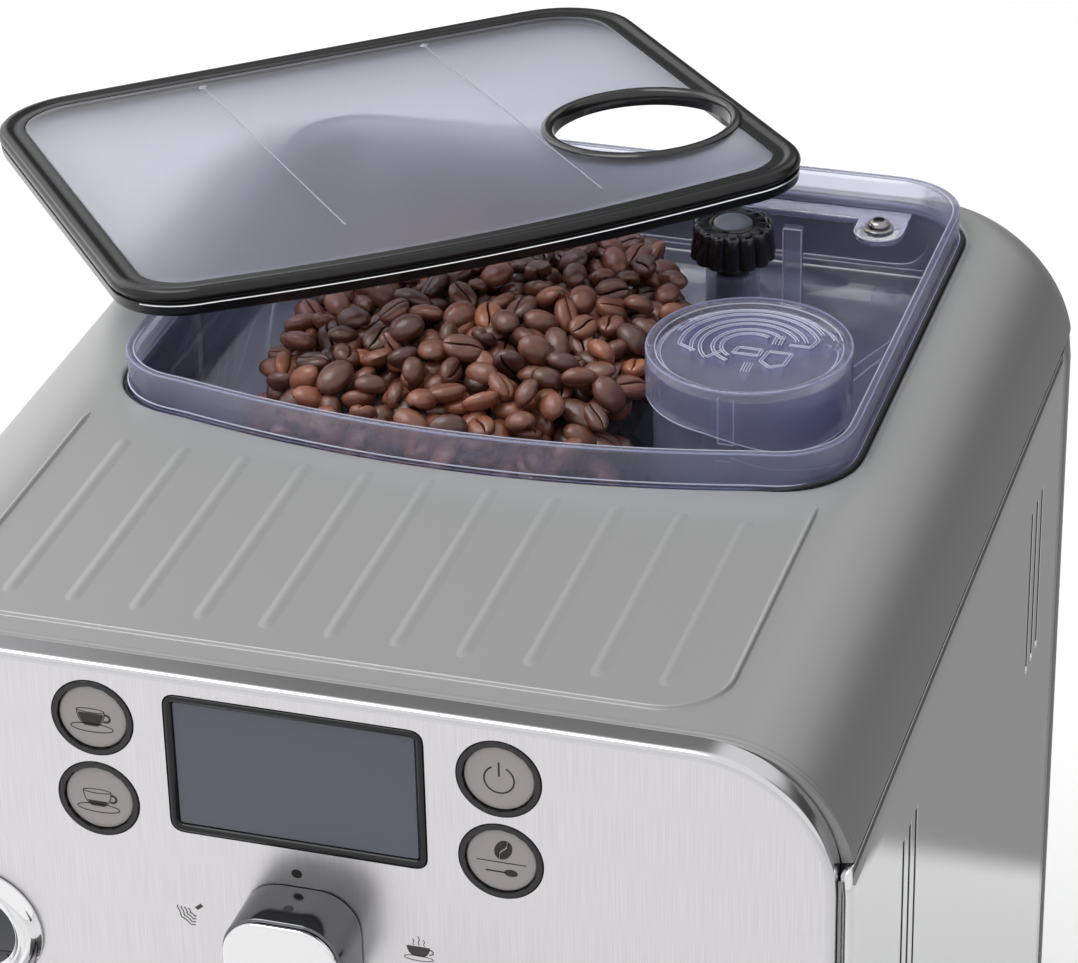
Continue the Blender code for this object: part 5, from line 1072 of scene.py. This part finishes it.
spots = np.concatenate([scatter(6.9, 5200, 3.6), scatter(6.4, 5200, 7.4), scatter(6.6, 4200, 11.5)])
count = len(spots)
t = np.array([-1.0, -0.9, -0.6, -0.2, 0.2, 0.6, 0.9, 1.0])
half_section = np.array([(0, 0.02), (0.10, 0.44), (0.42, 0.56), (0.82, 0.38), (1, -0.02), (0.86, -0.52),
                         (0.48, -0.88), (0, -1)])
section = np.concatenate([half_section, half_section[-2:0:-1] * [-1, 1]])
rings_in_bean = (len(t), len(section))
a, b = section.T
thin = np.sqrt(np.clip(1.0 - np.abs(t) ** 2.3, 0.0, 1.0))[:, None]
crease = 0.10 * np.sin(math.pi * t)[:, None] * (b > 0) * (np.abs(a) < 0.2)
bean = np.stack([np.broadcast_to(t[:, None], rings_in_bean), a * thin + crease, b * thin], -1)
size = rng.normal(1.0, 0.07, (count, 1)) * [4.9, 3.65, 3.0] * rng.normal(1.0, 0.05, (count, 3))
spin = rng.uniform(0.0, 2.0 * math.pi, count)
flip = np.where(rng.random(count) < 0.42, 0.0, math.pi) + rng.normal(0.0, 0.55, count)
tip = rng.normal(0.0, 0.38, count)


def turned(angle, axis):
    """One turning matrix for each angle, about one axis."""
    c, s = np.cos(angle), np.sin(angle)
    made = np.zeros((len(angle), 3, 3))
    i, j = (axis + 1) % 3, (axis + 2) % 3
    made[:, axis, axis] = 1.0
    made[:, i, i], made[:, j, j] = c, c
    made[:, i, j], made[:, j, i] = -s, s
    return made


frame_of = turned(spin, 2) @ turned(tip, 1) @ turned(flip, 0)
beans = np.einsum("nij,nrcj->nrci", frame_of, bean[None] * size[:, None, None, :]) + spots[:, None, None, :]
beans[..., 2] = np.minimum(beans[..., 2], 10.4)
index = np.arange(beans[..., 0].size).reshape(count, *rings_in_bean)
index = np.concatenate([index, index[..., :1]], axis=2)
quads = np.stack([index[:, :-1, :-1], index[:, 1:, :-1], index[:, 1:, 1:], index[:, :-1, 1:]], -1)
quads = quads.reshape(-1, 4)
mesh = bpy.data.meshes.new("coffee_beans")
mesh.from_pydata(place_of(*np.moveaxis(beans, -1, 0)).reshape(-1, 3), [], quads)
marked(mesh, "tone", np.repeat(rng.beta(2.2, 2.6, count), bean[..., 0].size))
marked(mesh, "slit_shade", np.tile((np.abs(a) < 0.05) & (b > 0), count * len(t)))
reworked(mesh, 0.0005, outward=True)

roast = look("roasted_bean", "roast_brown", (0.10, 0.04, 0.025), 0.34, 0.0, Coat_Weight=0.30,
             Coat_Roughness=0.22, grit=(700.0, 0.45, 0.0003, (1, 1, 1), 4.0))
tree, shader = insides(roast)
mottle = added(tree, "TexNoise", Vector=added(tree, "TexCoord").outputs["Object"], Scale=420.0).outputs["Fac"]
tone = worked(tree, "SUBTRACT", worked(tree, "MULTIPLY_ADD", mottle, 0.35, attribute(tree, "tone")), 0.17)
browns = ramped(tree, tone, (0.0, (0.055, 0.026, 0.020)), (0.35, (0.145, 0.057, 0.038)),
                (0.7, (0.27, 0.100, 0.060)), (1.0, (0.46, 0.165, 0.085)))
# The slit is painted near black: painted shade in the crease.
feed(tree, shader.inputs["Base Color"], mixed(tree, attribute(tree, "slit_shade"), browns, (0.010, 0.006, 0.005)))
piece(mesh, roast, "bean_fill", sharp=50.0)

# The beans further down are one near-black mass: painted shade for the beans lying in the heap's shadow.
bean_shade_paint = look("shaded_beans_paint", "roast_brown", (0.016, 0.008, 0.006), 0.6, grit=(160.0, 0.8, 0.002))
mass_loop = bowed_loop(50.0, 122.0, 252.0, 40.0, 40.0, 0.0, -13.7, 120)
centre = mass_loop.mean(axis=0)
mass = [place_of(*(np.array([0.0, grinder_depth]) + (mass_loop - centre) * 0.28).T, -54.0)]
mass += [place_of(*(centre + (mass_loop - centre) * share).T, rise)
         for share, rise in ((0.88, -22), (0.86, -16), (0.7, -8), (0.4, -3), (0, -1))]
mass = [mass[0].mean(axis=0, keepdims=True).repeat(len(mass_loop), 0)] + mass
piece(surface("bean_mass", np.array(mass), (False, True), weld=0.01), bean_shade_paint, "machine")


# Lid of the hopper, taken off and laid askew on it: a smoked see-through pane in a charcoal
# frame with a rolled top edge over a narrower skirt, and a black ring round the doser's hole.
lid_turn = [math.radians(angle) for angle in (-5.701, -1.045, 37.088)]
cx, cy, cz = np.cos(lid_turn)
sx, sy, sz = np.sin(lid_turn)
lid_axes = (np.array([[cz, -sz, 0], [sz, cz, 0], [0, 0, 1]]) @ np.array([[cy, 0, sy], [0, 1, 0], [-sy, 0, cy]])
            @ np.array([[1, 0, 0], [0, cx, -sx], [0, sx, cx]]))
lid_middle = np.array([-62.68, 255.25, 15.34])


def on_lid(x, y, z):
    """Places drawn in the lid's own axes, put where the lid lies."""
    spots = np.stack(np.broadcast_arrays(x, y, z), -1) @ lid_axes.T + lid_middle
    return place_of(*np.moveaxis(spots, -1, 0))


lid_loop = bowed_loop(95.5, -83.65, 83.65, 21.1, 25.1, 5.8, count=640)
hole_x, hole_y, hole_radius = 65.3, -26.2, 26.4
frame_steps = [(4.6, -3), (4.6, -6.9), (4.4, -7.3), (4, -7.5), (2.4, -7.5), (1.3, -7.3), (0.7, -6.8),
               (0.5, -6), (0.5, -4.6), (0.35, -4.15), (0.5, -3.9), (0.9, -3.8), (1.3, -3.75), (1.45, -3.5),
               (1.3, -3.25), (0.9, -3.1), (0.4, -2.9), (0.1, -2.6), (0, -2.2), (0.1, -1.4), (0.45, -0.7),
               (1, -0.2), (1.7, 0), (2.6, -0.02), (3.4, -0.2), (4, -0.5), (4.6, -0.62), (5.6, -0.6),
               (6.8, -0.55), (7.5, -0.62), (7.5, -2.8)]
lid_frame = raised("lid_border", lid_loop, frame_steps, on_lid, "ring")
lid_frame = cut_round(lid_frame, hole_radius, hole_x, hole_y, -12.0, 6.0, on_lid)
piece(lid_frame, charcoal, "lid_frame")

# Under the top roll at the lid's front runs a thin bright metal strip: a painted highlight for the line of
# light that the edge catches.
front_line = np.column_stack([np.linspace(-91.0, 91.0, 160), np.zeros(160)])
bow = drawn_in(lid_loop, 0.3)[lid_loop[:, 1] < -60.0]
bow = bow[np.argsort(bow[:, 0])]
front_line[:, 1] = np.interp(front_line[:, 0], bow[:, 0], bow[:, 1])
highlight_strip_paint = look("painted_highlight_bead", "charcoal_gloss", (0.85, 0.85, 0.86), 0.12, 1.0, grit=(600.0, 0.04, 0.00002))
piece(wall_along("lid_highlight_strip", front_line, 0.15, -4.30, -4.05, on_lid), highlight_strip_paint, "lid")

smoked = look("smoked_clear", "smoke_clear", (0.76, 0.77, 0.87), 0.30, 0.0, Transmission_Weight=0.94,
              IOR=1.30, Coat_Weight=0.25, Coat_Roughness=0.05, grit=(90.0, 0.03, 0.0003))
tree, shader = insides(smoked)
# The pane's colour darkens by a mark set below: painted shade near its back and side edges and towards its
# front.
feed(tree, shader.inputs["Base Color"],
     ramped(tree, attribute(tree, "pane_shade"), (0.0, (0.67, 0.68, 0.79)), (1.0, (0.17, 0.17, 0.19))))
inner = drawn_in(lid_loop, 7.8)
steps = [(0, -2.6), (1, -2.6), (1, -0.65)] + [(share, -0.5) for share in np.linspace(0.995, 0.0, 42)]
rows = [level(inner * share, height) for share, height in steps]
pane = surface("lid_pane", on_lid(*np.moveaxis(rows, -1, 0)), (False, True), weld=0.002)
pane = cut_round(pane, hole_radius, hole_x, hole_y, -12.0, 6.0, on_lid)
spots = np.empty(len(pane.vertices) * 3, np.float32)
pane.vertices.foreach_get("co", spots)
spots = (spots.reshape(-1, 3) / mm - [0.0, front_y, top_z] - lid_middle) @ lid_axes
# Painted shade: strongest by the back edge, weaker by the sides, and a little towards the front.
to_back = 75.8 - spots[:, 1]
to_side = 87.7 - np.abs(spots[:, 0])
edge_shade = np.clip(0.80 * np.exp(-to_back / 12.0) + 0.40 * np.exp(-to_side / 7.0), 0.0, 1.0)
front_shade = np.clip((20.0 - spots[:, 1]) / 90.0, 0.0, 1.0) * np.clip((spots[:, 0] + 110.0) / 110.0, 0.0, 1.0)
marked(pane, "pane_shade", np.clip(edge_shade + 0.14 * front_shade, 0.0, 1.0))
piece(pane, smoked, "lid_window")
lines = []
for start, end in (((-33.1, 68.5), (-30.2, -58)), ((34.5, 69.6), (38, -68))):
    lines.append(wall_along("line", np.linspace(start, end, 40), 0.28, -0.6, -0.38, on_lid))
    lines.append(lathe("gate", [(0, -0.6), (1.3, -0.55), (1, -0.2), (0, -0.1)], *start, on_lid, 24))
faint = look("moulded_line", "smoke_clear", (0.62, 0.62, 0.72), 0.25, 0.0, Alpha=0.55,
             grit=(400.0, 0.05, 0.0001))
piece(joined("lid_lines", lines), faint, "lid")

ring = [(24.5, -4), (26, -4), (26.1, -0.75), (27.3, -0.7), (27.7, -0.45), (27.6, 0), (27.1, 0.45),
        (26.3, 0.68), (25.5, 0.6), (24.9, 0.25), (24.5, -0.5)]
piece(lathe("lid_hole_ring", ring, hole_x, hole_y, on_lid, 128, wrap=True), gloss_black, "lid_ring")


# Base and feet: a black moulded plate that everything stands on, with four rubber discs under it.
# Its edges, like those of every moulding below, are eased by half a millimetre.
def dressed(node, finish, ease=0.5, angle=30.0):
    """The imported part's own skin made one closed mesh: its corners are merged, its flat faces
    joined and its edges rounded by a bevel in two steps."""
    mesh = reworked(bpy.data.meshes.new(node + "_eased"), 0.005, 1.0, more=[frame["nodes"][node].data])
    mesh = baked(mesh, ("BEVEL", {"width": ease * mm, "segments": 2, "limit_method": "ANGLE",
                                  "angle_limit": math.radians(angle), "use_clamp_overlap": True}))
    mesh.shade_smooth()
    mesh.set_sharp_from_angle(angle=math.radians(35.0))
    mesh = baked(mesh, ("WEIGHTED_NORMAL", {"keep_sharp": True, "weight": 100}))
    return piece(mesh, finish, node)


def in_frame(x, y, z):
    """Millimetres in the machine's own axes, as points in metres."""
    return np.stack(np.broadcast_arrays(x, y, z), axis=-1) * mm


satin_black = look("satin_black_moulding", "black_plastic", (0.024, 0.024, 0.026), 0.48,
                   grit=(2200.0, 0.25, 0.00005))
dressed("base_frame", satin_black, 0.6)
soft_rubber = look("soft_rubber", "rubber", (0.030, 0.030, 0.031), 0.78, grit=(1600.0, 0.35, 0.00006))
for x, y, name in ((-100, -184, "front_left"), (100, -184, "front_right"), (-100, 190, "rear_left"),
                   (100, 190, "rear_right")):
    foot = [(0, 0), (6.6, 0), (7, 0.35), (7.6, 0.35), (8, 0), (8.4, 0), (8.9, 0.5), (9, 1.2), (9, 2.4),
            (8.7, 2.45), (6, 2.45), (6, 3.3), (0, 3.35)]
    piece(lathe("foot_" + name + "_disc", foot, x, y, in_frame, 48), soft_rubber, "foot_" + name)


# Frame inside: the deck under the hopper, the floor of the drawer's bay and the wall beside the
# tank, all black mouldings that clip and screw together.
for node in ("upper_deck", "bay_floor", "centre_wall"):
    dressed(node, satin_black, 0.4)


# Lower front: a gloss black panel with the spout's rail down its middle and a round boss for the
# wand's joint at the left.
piano_black = look("piano_black", "gloss_black", (0.014, 0.014, 0.016), 0.12, 0.0, Coat_Weight=0.5,
                   Coat_Roughness=0.04, grit=(700.0, 0.05, 0.00002))
dressed("lower_front", piano_black, 0.6)


# Coffee spout: a gloss black block with round corners and two nozzles under it. It slides on the
# rail by two cheeks, and a bright chrome plate is set in its face.
spout_loop = bowed_loop(27.0, -130.0, -71.6, 10.0, 2.0, 0.0, count=240)
shell = [(1.6, 132.5), (0.6, 132.8), (0.1, 133.6), (0, 134.6), (0, 157), (0.15, 158.2), (0.7, 159.1),
         (1.7, 159.5)]
spout_bits = [raised("block", spout_loop, shell, in_frame)]
for x in (-12.5, 12.5):
    nozzle = [(2.6, 134), (2.6, 120.5), (4.6, 120.5), (5.1, 121.2), (5.5, 123), (5.5, 134)]
    spout_bits.append(lathe("nozzle", nozzle, x, -105.0, in_frame, 48, wrap=True))
cheek_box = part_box("spout_body")
cheek_y = (-71.8, cheek_box[1][1] / mm)
for side in (-1.0, 1.0):
    cheek = bowed_loop(4.2, cheek_y[0], cheek_y[1], 0.6, 0.6, 0.0, side * 13.6, 60)
    spout_bits.append(raised("cheek", cheek, [(0.4, 133), (0, 133.4), (0, 153), (0.4, 153.4)], in_frame))
piece(joined("spout_moulding", spout_bits), piano_black, "spout_body")


def on_spout(x, z, out):
    return in_frame(x, -130.0 - out, z)


plate = bowed_loop(17.0, 135.5, 156.5, 2.0, 2.0, 0.0, count=160)
piece(raised("spout_plate", plate, [(0, 0), (0, 0.7)] + rounded(0.45, 0.7) + [(1.4, 1.15)], on_spout),
      bright_chrome, "spout_trim")


# Steam wand: a straight steel pipe from a round knuckle, which swings on its shaft in the boss.
# A ribbed rubber grip and a chrome froth sleeve are pushed onto it.
wand_x, wand_y, wand_z = -92.0, -76.8, 176.0


def about_shaft(a, b, h):
    """Places about a shaft that runs from front to back; h is measured to the front."""
    return in_frame(a, -h, b)


knuckle = [(0, 61.6), (3.9, 61.6), (3.9, 70), (8.2, 70.3), (9.2, 71.2), (9.5, 73), (9.5, 80.6), (9.2, 82.2),
           (8.2, 83.1), (0, 83.3)]
pipe = [(0, 99.2), (2.4, 99.2), (3, 99.9), (3.2, 101), (3.2, 172), (0, 172.5)]
piece(joined("wand_pipe", [lathe("knuckle", knuckle, wand_x, wand_z, about_shaft, 64),
                           lathe("pipe", pipe, wand_x, wand_y, in_frame, 48)]),
      smoked_chrome, "steam_wand")
rib = np.linspace(0.0, 1.0, 61)
rib_count, rib_depth = 6, 0.55
grip_low, grip_high = 139.6, 157.4
waist = 7.3 - rib_depth * (0.5 - 0.5 * np.cos(2 * math.pi * rib_count * rib)) - 0.6 * abs(2 * rib - 1) ** 6
grip = [(3.6, grip_low), *zip(waist, grip_low + (grip_high - grip_low) * rib), (3.6, grip_high)]
piece(lathe("wand_grip_ribbed", grip, wand_x, wand_y, in_frame, 64, wrap=True), soft_rubber, "wand_grip")
sleeve = [(3.6, 97.3), (5.6, 97.3), (6.1, 97.9), (6.2, 98.8), (6.2, 135.6), (6, 136.8), (5.2, 138.8),
          (4.9, 139.1), (3.6, 139.1)]
piece(lathe("wand_froth_sleeve", sleeve, wand_x, wand_y, in_frame, 64, wrap=True), bright_chrome, "wand_sleeve")


# Drip tray: a deep black moulding that slides out to the front, under a pressed steel grid with
# long slots. A red float comes up through the grid as the tray fills.
dressed("drip_tray", satin_black, 0.4)
dressed("drip_grid", brushed, 0.25)
red_float = look("float_red", "float_red", (0.50, 0.025, 0.022), 0.34, grit=(1500.0, 0.12, 0.00003))
float_box = [np.array(corner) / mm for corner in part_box("tray_float")]
fx, fy = (float_box[0][:2] + float_box[1][:2]) / 2
low, high = float_box[0][2], float_box[1][2]
bob = [(0, low), (9.2, low), (9.8, low + 0.4), (10, low + 1.2), (10, low + 8.0), (9.6, low + 8.9),
       (8.6, low + 9.3), (2.4, low + 9.5), (2.4, high - 0.6), (1.9, high), (0, high)]
piece(lathe("float_bob", bob, fx, fy, in_frame, 48), red_float, "tray_float")


# Grounds drawer and water tank: a gloss black drawer with a finger hole, and a smoke grey tank
# behind a steel front, which has a finger hole and a slot that shows the water's level.
dressed("grounds_drawer", piano_black, 0.7)
dressed("tank_front", brushed, 0.6)
tank_smoke = look("tank_smoke", "smoke_clear", (0.50, 0.52, 0.58), 0.06, 0.0, Transmission_Weight=0.9,
                  IOR=1.49, Alpha=0.75, grit=(260.0, 0.05, 0.0001))
dressed("water_tank", tank_smoke, 0.8)


# Back: a bent steel cover with air slots, a socket for the mains lead with three blades in it,
# and a rocker switch marked with a bar and a ring.
dressed("rear_cover", satin_grey, 0.5)
dressed("power_inlet", satin_black, 0.5)
blade_metal = look("blade_metal", "cast_aluminium", (0.62, 0.60, 0.55), 0.28, 1.0, grit=(900.0, 0.1, 0.00002))
blades = []
for x, z in ((-92.6, 38), (-79.4, 38), (-86, 44)):
    blade = bowed_loop(1.0, -2.2, 2.2, 0.4, 0.4, 0.0, count=40) + [0.0, z]
    blades.append(raised("blade", blade, [(0, 199.9), (0, 214.4), (0.5, 215.4)],
                         lambda a, b, h, x=x: in_frame(x - a, h, b)))
piece(joined("inlet_blades", blades), blade_metal, "machine")
dressed("main_switch", piano_black, 0.4, 40.0)
white_print = look("white_print", "key_grey", (0.75, 0.75, 0.74), 0.5, grit=(2500.0, 0.1, 0.00001))
dish = 14.0


def on_switch(a, b, out):
    """Places on the rocker's dished face, a hollow cylinder that lies across the switch."""
    b = np.asarray(b)
    return in_frame(-50.0 - a, 219.0 + dish - np.sqrt(dish**2 - b**2) + out, 40.0 + b)


bar_and_ring = [(np.linspace((0.0, 3.6), (0.0, 6.4), 8), 0.5), (oval(0.0, -5.0, 1.5, 1.5, count=40), 0.45)]
piece(inked("switch_marks", on_switch, bar_and_ring, out=0.06), white_print, "switch")


# Works inside: the grinder with its burr and motor, the boiler, the pump and its hose, the
# brewing block with its piston, the control board and the door's pins.
cast_metal = look("cast_aluminium", "cast_aluminium", (0.58, 0.58, 0.59), 0.42, 1.0,
                  grit=(1400.0, 0.35, 0.00008))
for node in ("grinder_motor", "boiler", "grinder_burr", "door_pin_lower", "door_pin_upper"):
    dressed(node, cast_metal, 0.4)
for node in ("grinder_collar", "grinder_housing", "brew_group", "pump"):
    dressed(node, satin_black, 0.5)
milky_silicone = look("milky_silicone", "silicone", (0.70, 0.70, 0.67), 0.42, 0.0, Transmission_Weight=0.25,
                      grit=(900.0, 0.1, 0.00004))
for node in ("pump_hose", "brew_piston"):
    dressed(node, milky_silicone, 0.3)
board_green = look("board_green", "circuit_board", (0.02, 0.14, 0.055), 0.35, 0.0, Coat_Weight=0.3)
tree, shader = insides(board_green)
upright = added(tree, "Mapping", Vector=added(tree, "TexCoord").outputs["Object"],
                Rotation=(math.pi / 2, 0.0, 0.0))
tracks = added(tree, "TexBrick", Vector=upright.outputs["Vector"], Color1=(0.018, 0.15, 0.055),
               Color2=(0.014, 0.11, 0.042), Mortar=(0.05, 0.24, 0.11), Scale=190.0, Mortar_Size=0.05)
feed(tree, shader.inputs["Base Color"], tracks.outputs["Color"])
dressed("control_board", board_green, 0.2)
